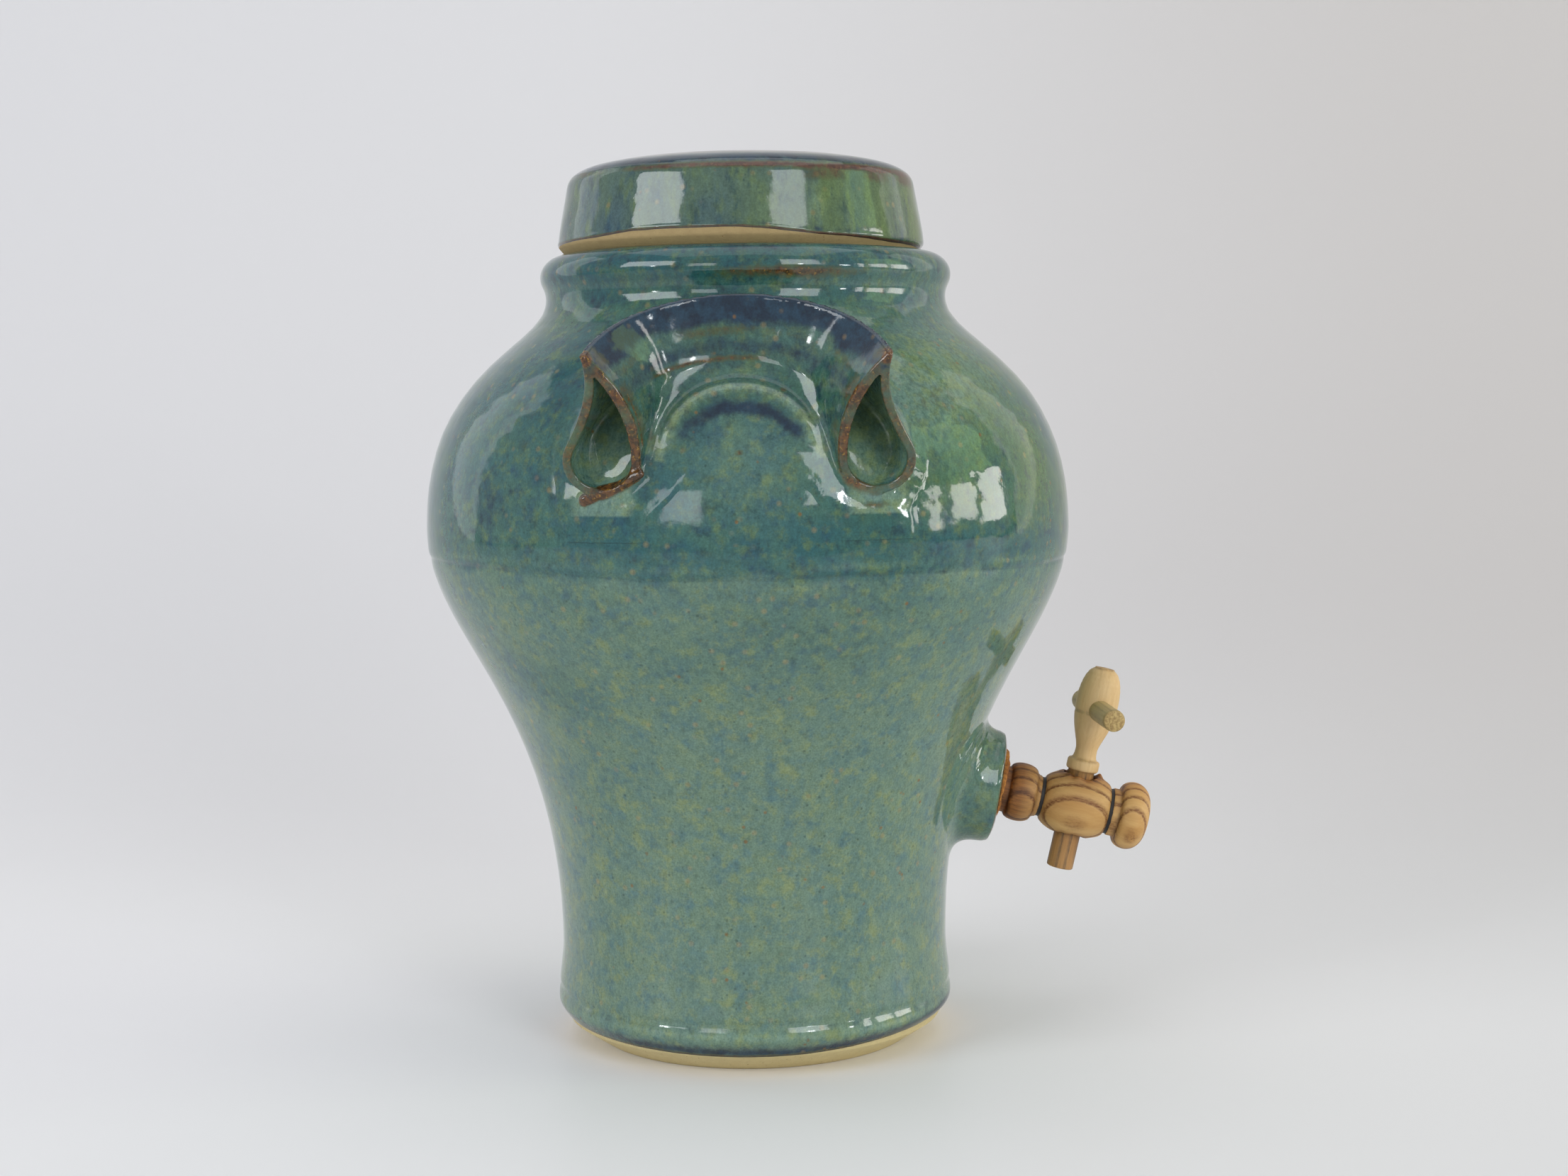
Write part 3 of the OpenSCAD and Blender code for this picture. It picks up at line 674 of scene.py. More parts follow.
# The ring that the handles are cut from: U points out from its axis, AX along it
U = vec(0, math.cos(LEAN), math.sin(LEAN))
AX = vec(0, -math.sin(LEAN), math.cos(LEAN))
tip_out = CREST_R * math.cos(SPAN / 2)
end_depth = BASE_DEPTH + BASE_R
end_out = tip_out - end_depth * math.tan(LEAN - CUT_LEAN)
end_x = math.sqrt(BASE_RING_R**2 - end_out**2)
end_z = BELLY_Z + 14.7
end_y = -math.sqrt((outer_r(end_z) + 1.3)**2 - end_x**2)
RING_O = vec(0, end_y, end_z) - (U * end_out - AX * end_depth)
TIP = RING_O + U * tip_out
CUT_N = vec(0, -math.cos(CUT_LEAN), -math.sin(CUT_LEAN))


def ring_coords(p):
    """Radius from the ring's axis, height along it, and the two parts of the radius."""
    d = p - RING_O
    h, a, x = d @ AX, d @ U, d[:, 0]
    return np.hypot(x, a), h, a, x


def crock():
    v, f = turned(crock_profile, 288)
    v = thrown(v)
    x, y, t = local(v, TAP_M, TAP_O).T
    in_hole = (np.hypot(x, y) < BUNG_R - 1.0) & (t > -60)
    f = [q for q in f if not in_hole[list(q)].all()]
    make("crock", v, f, glaze, "crock", ["crock_body"], crock_masks(v))


# ---- handles

def teardrop(base_r, crest, crest_w, out_pull, in_pull, out_meet, in_meet, n=14):
    """The ring's section: a round base, and two walls that meet at a narrow crest."""
    c = vec(BASE_RING_R, -BASE_DEPTH)
    oa = math.radians(25)
    out_p = c + base_r * vec(math.cos(oa), math.sin(oa))
    in_p = c - vec(base_r, 0)
    crest_o, crest_i = crest + vec(crest_w / 2, 0), crest - vec(crest_w / 2, 0)
    rise = BASE_DEPTH + crest[1]
    return np.concatenate([
        curve(crest_o, crest_o + rise * vec(*out_pull), out_p + rise * out_meet * vec(-math.sin(oa), math.cos(oa)),
              out_p, n),
        arc(c, base_r, 25, -180, 30)[1:],
        curve(in_p, in_p + vec(0, rise * in_meet), crest_i + rise * vec(*in_pull), crest_i, n),
        [crest_o],
    ])


# At its ends the wall leaves the crest at a slant. In the middle it runs down straight.
HOLLOW = BASE_R - HANDLE_WALL, vec(CREST_R - .46 * CREST_T, -CREST_T), .8, (-.05, -.3), (-.05, -.05), .2, .54
OUTER_END = BASE_R, vec(CREST_R, 0), 1.6, (-.11, -.34), (-.22, -.22), .24, .5
OUTER_MID = BASE_R, vec(CREST_R, 0), 1.6, (-.11, -.34), (-.17, -.33), .24, .34
outer_end, outer_mid, ring_hollow = (
    Flat(teardrop(*form), (20, -56), (66, 6), 0.2) for form in (OUTER_END, OUTER_MID, HOLLOW))
pot_flat = Flat(np.concatenate([[(0, 150)], outline[outline[:, 1] > 150], [(0, LEDGE_Z)]]),
                (50, 160), (150, 300), 0.4)
# The smear of clay that runs off the lower right of the left end
TAIL = vec(-50.2, -105.8, 201.0), vec(-31.5, -113.0, 209.3)
TIP_X = 47.5            # the crest's two ends, sideways from its middle
SEAT = 0.02             # a luted piece's mesh lies on the crock's wall by this much, and then dips under it


def capsule(p, a, b, radius):
    """Distance to a round-ended rod."""
    t = unit((p - a) @ (b - a) / ((b - a) @ (b - a)))
    return np.linalg.norm(p - a - t[:, None] * (b - a), axis=1) - radius


def handle_parts(p):
    """Everything that the handle's form and masks are made of, at points by the front handle."""
    rho, h, a, x = ring_coords(p)
    theta = np.arctan2(x, a)
    ridge = 0.2 * bump(h + 17.3, 1.2) * bump(theta + 0.25, 0.5)
    ridge += 0.08 * bump(h + 23, 2.0) + 0.05 * bump(h + 11, 2.0)
    end = step01(0.6, 1.15, np.abs(theta))
    d_ring = outer_end(rho, h) * end + outer_mid(rho, h) * (1 - end) - ridge * step01(46, 42, rho)
    d_hollow = smax(ring_hollow(rho, h), d_ring + 2.2, 0.8)
    d_cut = (p - TIP) @ CUT_N + 0.3 * wave(p, 17, 21) + 0.35
    pot = pot_flat(np.hypot(p[:, 0], p[:, 1]), p[:, 2])
    return rho, h, a, x, d_ring, d_hollow, d_cut, pot


def handle_field(p):
    rho, h, a, _, d_ring, d_hollow, d_cut, pot = handle_parts(p)
    wall = pot - wall_shift(p) - SEAT
    solid = smax(d_ring, d_cut, 1.0)
    # the lip: a flat roll of clay pushed from the inner wall down on to the shoulder
    lip = smax(np.hypot(rho - 28.2, pot * 1.2) - 1.9, d_cut + 7, 5)
    tail = capsule(p, *TAIL, 1.5) + 0.25 * wave(p, 7, 23)
    luted = smin(smin(solid, lip, 2.2), tail, 2.0)
    wall = wall + 0.12 * step01(6, 9, luted) + 0.6 * step01(9, 12, luted)
    low = step01(-12, -24, h)
    fillet = 2.6 + 5.0 * low * step01(-3, -13, d_cut) + 1.5 * low * step01(2, 8, rho - 50)
    whole = smin(luted, wall, fillet)
    whole = smax(whole, -(d_hollow + 0.1), 0.8)
    whole = smin(whole, wall, 2.0)
    # a shell: nothing deep in the crock's wall, nothing of the wall past the handle, nothing behind the ring's axis
    whole = smax(whole, -(pot + 2.2), 0.6)
    whole = np.maximum(whole, luted - 13)
    return np.maximum(whole, -(a + 30))


def handle_masks(p):
    """The crock's masks, with the handle's own on what stands out from the wall."""
    q = to_front(p)
    rho, h, a, x, d_ring, d_hollow, d_cut, pot = handle_parts(q)
    m = crock_masks(p)
    theta = np.degrees(np.arctan2(x, a))
    out = step01(0.6, 2.2, pot)
    mid, small = wave(p, 16, 24), wave(p, 6, 25)
    m["high"] = unit(m["high"] * (1 - out) + out * (0.85 + 0.1 * mid))
    m["olive"] = unit(m["olive"] * (1 - out) + out * (0.18 + 0.2 * mid))
    inside = step01(0.9, 0.2, d_hollow) * step01(-1.0, -2.5, d_cut)
    wall_side = step01(0.9, -0.9, rho - 49.3 - 0.42 * np.maximum(h, -14)) * (a > -12) * out * (1 - inside)
    arc_end = step01(-56, -40, theta) * step01(22, 8, theta)
    beside = d_hollow > 0.5
    middle = 0.5 * (d_ring - d_hollow)          # 0 halfway through the wall
    thin = step01(43, 50, rho)
    face = step01(-1.9, -0.7, d_cut) * step01(0.2, 1.2, pot)
    tips = [np.linalg.norm(q - TIP - vec(side * TIP_X, 0, 0), axis=1) for side in (-1, 1)]
    tip = np.minimum(*tips)
    worn = np.maximum.reduce([
        # the cut faces, worn in the middle of the wall's thickness, and the crest's two tips
        face * unit(1.05 - (0.22 + 0.14 * thin) * np.abs(middle)) * unit(0.92 + 0.25 * small),
        0.9 * step01(6.0, 2.0, tip),
        # lines along the wall and next to the cuts
        0.62 * wall_side * bump(h + 17.2, 1.0) * arc_end * unit(0.92 + 0.25 * small),
        0.50 * wall_side * bump(d_cut + 3.5, 3.5) * beside * unit(0.75 + 0.5 * small),
        0.44 * wall_side * bump(h + 9.6, 2.0) * unit(0.75 + 0.5 * mid),
        0.7 * bump(d_cut + 3.1, 0.6) * (h < -16) * (h > -33) * (x < 0) * beside,
        # the smear of clay and two spots
        0.9 * step01(1.6, 0.4, capsule(q, *TAIL, 1.2)),
        0.55 * bump(np.linalg.norm((q - vec(-27.7, -110.3, 220.2)) / vec(2, 2, 4.5), axis=1), 1),
        0.8 * bump(np.linalg.norm(q - vec(14.2, -103.8, 235.9), axis=1), 1.3),
    ])
    m["rust"] = np.maximum(m["rust"] * (1 - 0.5 * out), unit(worn))
    crest = out * (1 - inside) * step01(-9.5, -4.0, h + 1.2 * mid + 0.8 * small)
    # deep: the crest's blue band, a ring round the tips, and painted shade over the inner wall (wall_side)
    m["deep"] = unit(m["deep"] * (1 - out) + 0.74 * crest * unit(0.88 + 0.15 * mid)
                     + wall_side * (0.42 + 0.25 * bump(h + 14, 2.0)) + 0.6 * step01(9, 4, tip) * step01(3, 5, tip))
    edge = 0.4 * step01(-0.35, 0.0, h) * (a > -8)
    lip = 0.85 * bump(rho - 28.2, 1.7) * (np.abs(theta) < 68) * step01(4.5, 3, pot) * (a > 0)
    # pale: the edge and the lip, and painted light inside the hollow (inside)
    m["pale"] = unit(np.maximum.reduce([m["pale"] * (1 - 0.7 * out), edge, lip, 0.4 * inside]))
    m["pale"] *= 1 - 0.8 * step01(0.2, 0.5, m["rust"])
    m["clay"] = np.zeros(len(p))
    return m


def handles():
    v, f = nets(handle_field, (-69, -134, 187), (69, -82, 271), 0.8)
    make("handle_front", v, f, glaze, "crock", ["front_handle"], handle_masks(v))
    rear = v * vec(-1, -1, 1)
    # the wall is uneven in its own way at the back, and the clay next to it follows
    near_wall = step01(5, 1, handle_parts(v)[-1])
    outward = rear * vec(1, 1, 0) / np.hypot(rear[:, 0], rear[:, 1])[:, None]
    rear = rear + outward * (near_wall * (wall_shift(rear) - wall_shift(v)))[:, None]
    make("handle_rear", rear, f, glaze, "crock", ["rear_handle"], handle_masks(rear))


# ---- boss of the tap

boss_flat = Flat([(-30, -25), (BOSS_ROOT_R, -25), (BOSS_R + 0.15, -2.4), (BOSS_R - 0.5, -0.7),
                  (BOSS_R - 2.2, 0), (-30, 0)], (-2, -30), (45, 12), 0.2)
pot_low = Flat(np.concatenate([[(0, 20)], outline[(outline[:, 1] > 20) & (outline[:, 1] < 180)], [(0, 180)]]),
               (40, 30), (130, 150), 0.4)


def boss_parts(p):
    q = local(p, BOSS_M, BOSS_O)
    r = np.hypot(q[:, 0], q[:, 1])
    body = boss_flat(r, q[:, 2]) + 0.15 * wave(p, 16, 31) + 0.06 * wave(p, 5, 32)
    return q[:, 2], r, body, pot_low(np.hypot(p[:, 0], p[:, 1]), p[:, 2])


def boss_field(p):
    _, _, body, pot = boss_parts(p)
    wall = pot - wall_shift(p) - SEAT + 0.12 * step01(6, 9, body) + 0.6 * step01(8, 11, body)
    whole = smin(body, wall, 8)
    x, y, _ = local(p, TAP_M, TAP_O).T
    whole = smax(whole, BUNG_R - 0.2 - np.hypot(x, y), 1.0)
    whole = smax(whole, -(pot + 2.2), 0.6)
    return np.maximum(whole, body - 12)


def boss_masks(p):
    t, r, _, pot = boss_parts(p)
    m = crock_masks(p)
    out = step01(0.6, 2.5, pot)
    small = wave(p, 6, 33)
    face = step01(-0.9, -0.1, t)
    rim = bump(r - BOSS_R + 1.2, 1.1) * step01(-2.2, -0.8, t)
    m["rust"] = unit(np.maximum(0.85 * face * (r > 14), 0.62 * rim * (0.9 + 0.2 * small)))
    m["pale"] = unit(m["pale"] + out * (0.45 * bump(t + 6, 3.5) * (0.6 + 0.4 * small)))
    m["deep"] = unit(m["deep"] * (1 - out) + 0.35 * out * step01(76, 66, p[:, 2]))
    m["high"] = unit(m["high"] * (1 - out) + 0.5 * out)
    m["olive"] = unit(0.45 * out * (0.5 + 0.5 * small))
    m["clay"] = np.zeros(len(p))
    return m


def boss():
    v, f = nets(boss_field, (62, -38, 49), (96, 38, 129), 0.7)
    make("boss", v, f, glaze, "crock", ["tap_boss"], boss_masks(v))


# ---- lid

# The bare edge's upper line, by the angle from +X in degrees
LID_LINE_AT = (-180, -177, -138, -123, -111, -89, -79, -65, -52, -36, 0, 60, 120, 180)
LID_LINE_Z = (288.0, 288.1, 289.0, 290.2, 290.4, 290.4, 289.6, 288.0, 287.5, 286.6, 286.0, 286.6, 287.4, 288.0)
SHOULDER = 62.9, LID_TOP - 9.2
LID_FLAT_R = 42.9

lid_side = curve((LID_OUT_R, 288.2), (LID_OUT_R, 292.2), (63.9, 303.3), SHOULDER, 60)
lid_shoulder = curve(SHOULDER, (62.1, 315.0), (54.4, 316.9), (LID_FLAT_R, LID_TOP), 60)
lid_profile = np.concatenate([
    [(LID_IN_R, LEDGE_Z), (63.0, LEDGE_Z), (63.8, 285.06), (64.15, 285.35)],
    resample([(64.4, 285.7), (66.3, 287.9)], 0.5), [(66.46, 288.4)],
    resample(lid_side[2:18], 0.4), resample(lid_side[19:], 0.9),
    resample(lid_shoulder, 0.6)[1:], resample([(42.2, LID_TOP), (0, LID_TOP - 0.2)], 1.2)[:-1],
    [(0, LID_TOP - 0.2), (0, LID_UNDER)],
    arc((LID_IN_R - 5, LID_UNDER - 5), 5, 90, 0, 8), resample([(LID_IN_R, 304), (LID_IN_R, 287)], 3),
    [(LID_IN_R, 286.2), (LID_IN_R, LEDGE_Z)],
])


def lid_form(v):
    """The turned points, uneven as thrown. The lid lies a little to the left of the crock's axis."""
    x, y, z = v.T
    r = np.hypot(x, y)
    over = z - around(np.arctan2(y, x), LID_LINE_AT, LID_LINE_Z)
    outer = (r > LID_IN_R + 1.5) | (z > LID_UNDER + 1)
    d = 0.14 * wave(v, 45, 41) + 0.035 * wave(v, 6, 44) + 0.01 * np.sin(z * math.tau / 5.2) - 0.30
    d += 0.26 * step01(-0.2, 0.9, over) + 0.16 * bump(over - 0.9, 0.7)
    d *= outer * (z < LID_TOP - 0.4) * (r > 44)
    top = step01(LID_TOP - 3, LID_TOP - 0.6, z) * outer
    rise = top * (0.10 * np.sin(r * math.tau / 7.5) * step01(50, 40, r) - 0.12)
    k = (r + d) / np.maximum(r, 1)
    return np.stack([x * k - LID_SHIFT, y * k, z + rise], 1)


def lid_masks(v):
    x, y, z = v.T
    r = np.hypot(x, y)
    over = z - around(np.arctan2(y, x), LID_LINE_AT, LID_LINE_Z)
    outer = (r > LID_IN_R + 0.4) | (z > LID_UNDER + 1)
    tall = v * vec(1, 1, 0.25)
    big, mid, small = wave(v, 45, 42), wave(tall, 12, 43), wave(v, 7, 45)
    stripe = wave(tall, 6, 46)
    right_side = step01(-20, 45, x)
    rust = 0.78 * bump(z - 311.7, 1.3) * unit(0.5 + 0.5 * step01(-45, 5, x) + 0.25 * small)
    rust += 0.80 * bump(r - 49.5, 4.5) * (z > 315)
    rust += 0.60 * bump(z - 308.6, 2.4) * right_side * unit(0.4 + 0.7 * mid)
    rust += 0.85 * bump(over - 0.45, 0.55) * (0.75 + 0.25 * right_side) * outer
    deep = 0.42 * bump(z - 308.5, 3.2) * unit(0.55 + 0.6 * mid) + 0.30 * step01(0.1, 0.9, stripe) * (z < 311)
    deep += 0.35 * bump(over - 1.7, 1.0) + 0.85 * bump(z - 314.6, 2.6)
    olive = unit(0.02 + 0.40 * right_side + 0.4 * mid)
    pale = 0.35 * step01(0.3, 0.9, stripe) * right_side * bump(z - 298, 9) + 0.2 * (r < 45) * (z > 317)
    masks = dict(high=0.95 + 0.1 * big, deep=deep, rust=rust, pale=pale, olive=olive)
    masks = {name: unit(mask * outer) for name, mask in masks.items()}
    return dict(masks, clay=np.where(outer, unit(0.5 - over / 2.2), 1.0))


def lid():
    v, f = turned(lid_profile, 256)
    make("lid", lid_form(v), f, lid_glaze, "lid", ["lid"], lid_masks(v))


# ---- wood

# The tap: heights from the boss's face, and radii
SHANK_R, SHANK_IN, SHANK_TAPER = 8.5, 33.0, 0.8 / 33
BEAD0, BEAD_MID, BEAD1, BEAD_R = 4.2, 8.8, 13.4, 10.85
BALL0, BALL1, BALL_R = 17.4, 41.4, 12.3
KNOB0, KNOB_MID, KNOB1, KNOB_R = 45.6, 50.3, 57.4, 12.5
BURNT_AT = 16.55, 42.2
# The liner and the key: heights from the tap's axis, and radii. The pin: place, turn, radius and two ends
LINER_R, LINER_BORE = 6.3, 5.02
SPOUT, KEY_BORE, STEM_R = 24.2, 2.8, 4.9
RING0, RING1, RING_R = 12.8, 17.0, 6.0
GRIP0, GRIP0_R, SCRIBED, BULB, BULB_R, KEY_TOP = 20.4, 4.0, 34.6, 38.8, 7.8, 51.8
PIN_AT, PIN_TURN, PIN_R, PIN0, PIN1 = GRIP0 + 15.9, math.radians(6), 4.08, 3.0 - 26, 3.0 + 26
PIN_M = KEY_M @ np.stack([vec(math.cos(PIN_TURN), math.sin(PIN_TURN), 0), vec(0, 0, 1),
                          vec(math.sin(PIN_TURN), -math.cos(PIN_TURN), 0)], 1)
PIN_O = KEY_O + KEY_M @ vec(0, 0, PIN_AT)


def fibres(m, across):
    """The grain frame of a piece cut along its z, whose rings face as near to `across` as they can."""
    z = m[:, 2]
    x = across - z * (across @ z)
    x /= np.linalg.norm(x)
    return np.stack([x, np.cross(z, x), z], 1)


def swell(z0, r0, z1, r1, n, power=1.0):
    """From a narrow place to the widest one: a quarter of an ellipse, leaner with a higher power."""
    a = np.radians(np.linspace(0, 90, n + 1))
    return np.stack([r0 + (r1 - r0) * np.sin(a)**power, z1 - (z1 - z0) * np.cos(a)], 1)


def shank(t):
    return SHANK_R + SHANK_TAPER * t


tap_flat = Flat(np.concatenate([
    [(-30, -SHANK_IN), (6.7, -SHANK_IN), (shank(1 - SHANK_IN), 1 - SHANK_IN), (shank(BEAD0), BEAD0)],
    swell(BEAD0, shank(BEAD0) + 0.3, BEAD_MID, BEAD_R, 12),
    swell(BEAD1 + 0.6, 8.5, BEAD_MID, BEAD_R, 12)[::-1][1:],
    [(7.75, BEAD1 + 1.5), (7.6, 15.7), (7.25, 15.9), (7.25, 17.2), (7.7, BALL0)],
    swell(BALL0, 7.9, KEY_T, BALL_R, 20, 1.45)[1:],
    swell(BALL1, 8.9, KEY_T, BALL_R, 20, 1.25)[::-1][1:],
    [(8.35, BALL1 + 0.1), (8.35, BALL1 + 1.4), (8.8, BALL1 + 1.7), (8.8, KNOB0 - 0.2)],
    swell(KNOB0, 9.4, KNOB_MID, KNOB_R, 12),
    swell(KNOB1 - 0.7, 5.6, KNOB_MID, KNOB_R, 16)[::-1][1:],
    [(3.5, KNOB1 - 0.25), (-30, KNOB1)],
]), (-1, -36), (18, 62), 0.12)


def tap_field(p):
    """In the tap's own frame. The key's hole runs along its x, torn where the drill came through."""
    x, y, t = p.T
    d = tap_flat(np.hypot(x, y), t) + 0.05 * wave(p, 9, 61)
    from_key, turn = np.hypot(y, t - KEY_T), np.arctan2(y, t - KEY_T)
    chips = 0.25 + 0.8 * np.sin(turn * 3 + 1.3) + 0.5 * np.sin(turn * 7 + 0.4) + 0.2 * np.sin(turn * 13)
    d -= 0.8 * np.maximum(0, chips) * bump(from_key - LINER_R - 1, 1.1) * (0.35 + 0.65 * step01(0, -4, x))
    return smax(d, LINER_R + 0.05 + 0.12 * np.sin(turn * 7 + 2) - from_key, 0.35)


def tap_masks(p):
    x, y, t = p.T
    from_key = np.hypot(y, t - KEY_T)
    stain = 0.95 * step01(15, 3, t) + 0.40 * step01(26, 14, t)
    stain += 0.9 * bump(from_key - LINER_R, 1.8) * (np.abs(x) > 5)
    stain += 0.35 * bump(t - KNOB0, 1.2) + 0.45 * bump(from_key - 6.0, 5.0) * step01(1, -7, x)
    burnt = sum(bump(t - at, 0.85)**2 for at in BURNT_AT)
    grime = 0.9 * bump(t - BEAD0 - 0.2, 1.0) + 0.5 * bump(t - BEAD1 - 0.6, 0.9) + 0.55 * bump(t - KNOB0, 0.7)
    knot = (p - vec(6.6, -10.2, 51.6)) / vec(2.6, 2.2, 2.4)
    end = step01(KNOB1 - 0.4, KNOB1 - 0.1, t) + bump(np.linalg.norm(knot, axis=1), 0.9)
    return dict(stain=unit(stain), burnt=unit(1.6 * burnt) * (np.hypot(x, y) < 9.5), grime=unit(grime),
                endgrain=unit(end))


def tap(wood):
    v, f = nets(tap_field, (-14.6, -14.6, -34.2), (14.6, 14.6, 59), 0.5)
    make("tap", place(v, TAP_M, TAP_O), f, wood, "crock", ["tap_body"], tap_masks(v))


def bung(cork):
    """The cork around the shank, crumbled where it shows."""
    v, f = turned(np.concatenate([
        [(8.3, -BUNG_IN), (BUNG_R, -BUNG_IN)], resample([(BUNG_R, 1 - BUNG_IN), (BUNG_R, 0.6)], 2.5),
        [(14.9, 1.1), (14.5, 1.6), (13.5, 1.8), (12.2, 1.75), (10.8, 1.8), (9.6, 1.7), (8.7, 1.4), (8.62, 0.5)],
    ]), 96)
    lump = wave(v * vec(1, 1, 0.4), 3.2, 51) + 0.6 * wave(v, 1.4, 52)
    front = step01(-1.0, 1.2, v[:, 2])
    v[:, 2] += front * (0.35 * lump - 0.35)
    r = np.hypot(v[:, 0], v[:, 1])
    v[:, :2] *= (1 - 0.010 * front * np.abs(lump) * (r > 13))[:, None]
    make("bung", place(v, TAP_M, TAP_O), f, cork, "crock", ["cork_bung"])


def liner(cork):
    """The cork that the key turns in, as long as the ball is wide there."""
    half = math.sqrt(BALL_R**2 - (LINER_R + 0.08)**2) - 0.4
    v, f = turned([(LINER_BORE, -half), (LINER_R, -half), (LINER_R, -4), (LINER_R, 4), (LINER_R, half),
                   (5.8, half + 0.15), (LINER_BORE, half), (LINER_BORE, 3), (LINER_BORE, -3), (LINER_BORE, -half)], 72)
    v[:, 2] += 0.18 * wave(v, 1.6, 71) * (np.abs(v[:, 2]) > 9)
    make("key_cork", place(v, KEY_M, KEY_O), f, cork, "crock", ["key_liner"])


def key(wood):
    """Spout, stem, ring and grip, turned in one piece."""
    grip = upright((GRIP0_R, GRIP0), (BULB_R, BULB), 0.2, 0.56, 44)
    grip[:, 0] -= 0.3 * bump(grip[:, 1] - SCRIBED, 0.35)
    v, f = turned(np.concatenate([
        [(0, 2.8), (KEY_BORE, 2.6)], resample([(KEY_BORE, 2.4), (KEY_BORE, 0.5 - SPOUT)], 3),
        [(3.1, 0.05 - SPOUT), (3.5, -SPOUT), (4.5, -SPOUT), (4.8, 0.2 - SPOUT), (STEM_R, 0.6 - SPOUT)],
        resample([(STEM_R, 1.2 - SPOUT), (STEM_R, RING0)], 1.6),
        [(5.0, RING0), (5.4, RING0 + 0.05), (5.85, RING0 + 0.5), (RING_R, RING0 + 1.0), (RING_R, RING1 - 0.9)],
        [(5.85, RING1 - 0.35), (5.4, RING1), (4.8, RING1 + 0.15), (4.35, RING1 + 0.8), (4.08, RING1 + 2.0)],
        grip,
        curve((BULB_R, BULB), (BULB_R, BULB + 6.4), (6.3, KEY_TOP - 1.7), (3.7, KEY_TOP - 0.5), 26),
        [(3.5, KEY_TOP - 0.15), (3.0, KEY_TOP - 0.3), (1.6, KEY_TOP - 0.45), (0.9, KEY_TOP - 0.1), (0, KEY_TOP - 0.2)],
    ]), 96)
    r, t = np.hypot(v[:, 0], v[:, 1]), v[:, 2]
    v[:, :2] *= (1 + 0.004 * wave(v, 7, 81) - 0.004)[:, None]
    tool = 0.05 * np.sin(t * math.tau / 1.9) * step01(41, 44, t) * (r > 3)
    v[:, :2] *= ((r + tool) / np.maximum(r, 0.5))[:, None]
    grime = 0.5 * bump(t - SCRIBED, 0.5) + 0.35 * bump(t - RING1, 0.5) + 0.4 * bump(t + 10.5, 1.5)
    grime += 0.3 * step01(KEY_TOP - 1.2, KEY_TOP - 0.3, t)
    masks = dict(
        stain=unit(0.95 * step01(RING0 + 0.4, RING0 - 0.3, t) * (1 - 0.1 * step01(-8, -20, t))),
        burnt=np.zeros(len(v)), grime=unit(grime),
        endgrain=unit(step01(KEY_TOP - 0.8, KEY_TOP - 0.3, t) + step01(0.25 - SPOUT, -SPOUT, t)))
    make("key", place(v, KEY_M, KEY_O), f, wood, "key", ["tap_key"], masks)


def cross_pin(wood):
    v, f = turned(np.concatenate([
        [(0, PIN0), (1.2, PIN0), (3.2, PIN0 + 0.05), (3.75, PIN0 + 0.3), (4.02, PIN0 + 0.8)],
        resample([(PIN_R, PIN0 + 1.6), (PIN_R, PIN1 - 1.6)], 1.5),
        [(4.04, PIN1 - 0.7), (3.85, PIN1 - 0.25), (3.4, PIN1 - 0.05), (1.2, PIN1 - 0.02), (0, PIN1)],
    ]), 64)
    r, t = np.hypot(v[:, 0], v[:, 1]), v[:, 2]
    v[:, :2] *= (1 - 0.008 - 0.008 * wave(v, 6, 91))[:, None]
    ends = step01(PIN1 - 1.4, PIN1 - 0.2, t) + step01(PIN0 + 1.4, PIN0 + 0.2, t)
    masks = dict(
        stain=np.full(len(v), 0.15), burnt=np.zeros(len(v)), grime=unit(0.55 * bump(r - 4.0, 0.35) * ends),
        endgrain=unit(step01(PIN1 - 0.3, PIN1 - 0.1, t) + step01(PIN0 + 0.3, PIN0 + 0.1, t)))
    make("cross_pin", place(v, PIN_M, PIN_O), f, wood, "key", ["key_cross_pin"], masks)


def woodwork():
    """The tap, its key and their corks."""
    rings_face = vec(-0.05, -math.cos(math.radians(24)), -math.sin(math.radians(24)))
    tap_wood = wood_material("turned_ash", fibres(TAP_M, rings_face), TAP_O, "d6ad6f", "ba8643", "784516")
    key_wood = wood_material("turned_pale_wood", fibres(KEY_M, np.cross(vec(0, 1, 0), KEY_M[:, 2])), KEY_O,
                             "e0c08c", "d0aa72", "b4864c", ring=3.4, contrast=0.12, seed=30,
                             stain=("8e5a22", "b07a3a"))
    pin_wood = wood_material("pin_wood", fibres(PIN_M, np.cross(vec(0, 0, 1), PIN_M[:, 2])), KEY_O,
                             "d8c084", "bea266", "8c6c3c", ring=2.2, contrast=0.35, seed=60)
    cork = cork_material("old_cork")
    bung(cork)
    tap(tap_wood)
    liner(cork)
    key(key_wood)
    cross_pin(pin_wood)


# ---- floor, light, camera, in metres

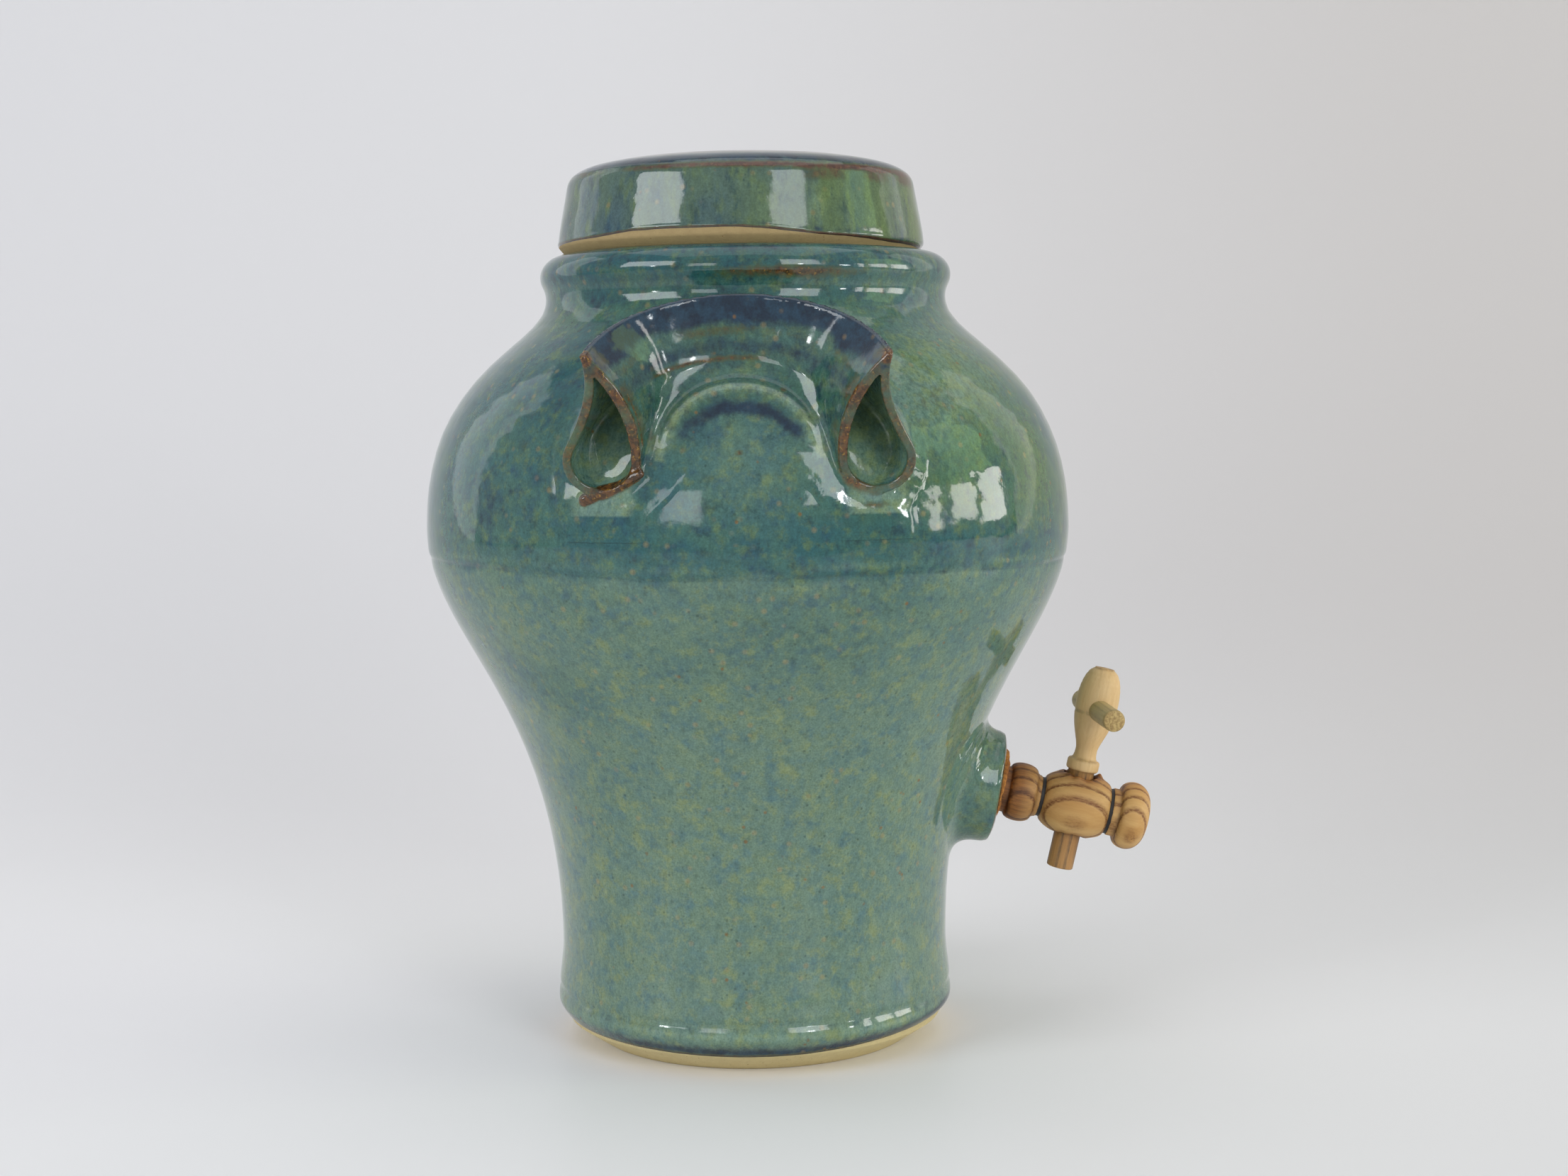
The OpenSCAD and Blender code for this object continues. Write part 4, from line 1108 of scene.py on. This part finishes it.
def backdrop():
    """A table that bends up into a wall, swept along X, with painted shade towards +X."""
    bend = [(0.35 + 0.9 * math.sin(a), 0.9 - 0.9 * math.cos(a)) for a in np.radians(np.linspace(0, 90, 17))[1:]]
    side = [(-1.1, 0.0), (0.35, 0.0), *bend, (1.25, 3.0)]
    n = len(side)
    mesh = bpy.data.meshes.new("backdrop")
    mesh.from_pydata([(x, *p) for x in (-3.2, 3.2) for p in side], [],
                     [(i, i + 1, n + i + 1, n + i) for i in range(n - 1)])
    mesh.polygons.foreach_set("use_smooth", [True] * (n - 1))
    o = bpy.data.objects.new("backdrop", mesh)
    bpy.context.scene.collection.objects.link(o)
    n = material("backdrop")
    x, y, _ = n.split()
    ground = n.mix(n.noise(1.2, 2, 0.5), (0.90, 0.885, 0.90, 1), (0.92, 0.905, 0.92, 1))
    # painted shade: the floor and the wall get darker towards +X, the shadow side of the lights
    ground = n.mix(n.span(x, 0.0, 0.5), ground, (0.81, 0.80, 0.81, 1))
    paper = n.mix(n.span(x, -0.25, 0.7), (0.785, 0.77, 0.79, 1), (0.63, 0.60, 0.60, 1))
    mesh.materials.append(n.finish(Base_Color=n.mix(n.span(y, 0.1, 0.8), ground, paper), Roughness=0.42,
                                   Specular_IOR_Level=0.25))


def panel(name, at, width, height, aim, radiance, colour=(1, 1, 1)):
    light = bpy.data.lights.new(name, "AREA")
    light.shape = "RECTANGLE"
    light.size, light.size_y = width, height
    light.energy = radiance * math.pi * width * height
    light.color = colour
    o = bpy.data.objects.new(name, light)
    o.location = at
    o.rotation_euler = aim.to_track_quat("-Z", "Y").to_euler()
    bpy.context.scene.collection.objects.link(o)


def window(name, azimuth, width, low, high, distance, radiance, colour):
    """An upright soft light. Angles are in degrees; the azimuth counts from the camera's side towards +X."""
    a = math.radians(azimuth)
    d = Vector((math.sin(a), -math.cos(a), 0))
    w = 2 * distance * math.tan(math.radians(width / 2))
    z0, z1 = (0.15 + distance * math.tan(math.radians(e)) for e in (low, high))
    panel(name, d * distance + Vector((0, 0, (z0 + z1) / 2)), w, z1 - z0, -d, radiance, colour)


def lights():
    """Windows, the light papers and leaves that the glaze reflects, and a ceiling."""
    cool, warm, leaves = (0.94, 0.98, 1.0), (1.0, 0.97, 0.92), (0.62, 1.0, 0.3)
    window("window_left", -55, 32, 13, 33, 2.1, 5.6, cool)
    window("window_middle", -22, 15, 6, 18, 2.1, 3.4, cool)
    window("window_right", 32, 23, 8, 33, 2.1, 4.6, cool)
    window("paper_left", -122, 34, -3, 44, 1.95, 0.95, cool)
    window("paper_right", 120, 26, -3, 44, 1.95, 0.85, warm)
    for azimuth, width, low, high in ((67, 4, 1, 15), (79, 12, 3, 15), (94, 13, 1, 15)):
        window("window_side", azimuth, width, low, high, 2.4, 7.0, warm)
    window("garden", 86, 22, 16, 34, 2.4, 1.2, leaves)
    for azimuth, elevation in ((-51, 11), (32, 10), (57, 7)):
        window("glint", azimuth, 3, elevation - 1.5, elevation + 1.5, 2.05, 30, cool)
    panel("ceiling", Vector((0, -0.2, 2.5)), 2.8, 2.4, Vector((0, 0, -1)), 0.75)


def world():
    """Weak light from all round, and a paler background for the camera and for reflections."""
    n = Nodes(bpy.data.worlds.new("world"), "ShaderNodeBackground", "ShaderNodeOutputWorld")
    rays = n.node("ShaderNodeLightPath", {})
    strength = 0.24
    for ray in ("Is Camera Ray", "Is Glossy Ray", "Is Transmission Ray"):
        strength = n.math("MAXIMUM", n.times(rays[ray], 0.68), strength)
    bpy.context.scene.world = n.finish(Color=(0.93, 0.95, 1.0, 1), Strength=strength)


def camera():
    """The photograph's camera: its picture is 2212 pixels wide, its focal length 3200 pixels."""
    yaw, pitch, roll = -0.0093, 0.0803, -0.0124
    ahead = Vector((math.sin(yaw) * math.cos(pitch), math.cos(yaw) * math.cos(pitch), -math.sin(pitch)))
    level = Vector((math.cos(yaw), -math.sin(yaw), 0))
    up = level.cross(ahead)
    x, y = math.cos(roll) * level + math.sin(roll) * up, math.cos(roll) * up - math.sin(roll) * level
    lens = bpy.data.cameras.new("camera")
    lens.sensor_fit = "HORIZONTAL"
    lens.sensor_width = 36
    lens.lens = 3200 / 2212 * 36
    lens.clip_end = 20
    o = bpy.data.objects.new("camera", lens)
    m = Matrix((x, y, -ahead)).transposed().to_4x4()
    m.translation = Vector((0.0204, -0.8332, 0.2305))
    o.matrix_world = m
    bpy.context.scene.collection.objects.link(o)
    bpy.context.scene.camera = o
    bpy.context.scene.view_settings.view_transform = "Standard"


crock()
handles()
boss()
lid()
woodwork()
backdrop()
lights()
world()
camera()
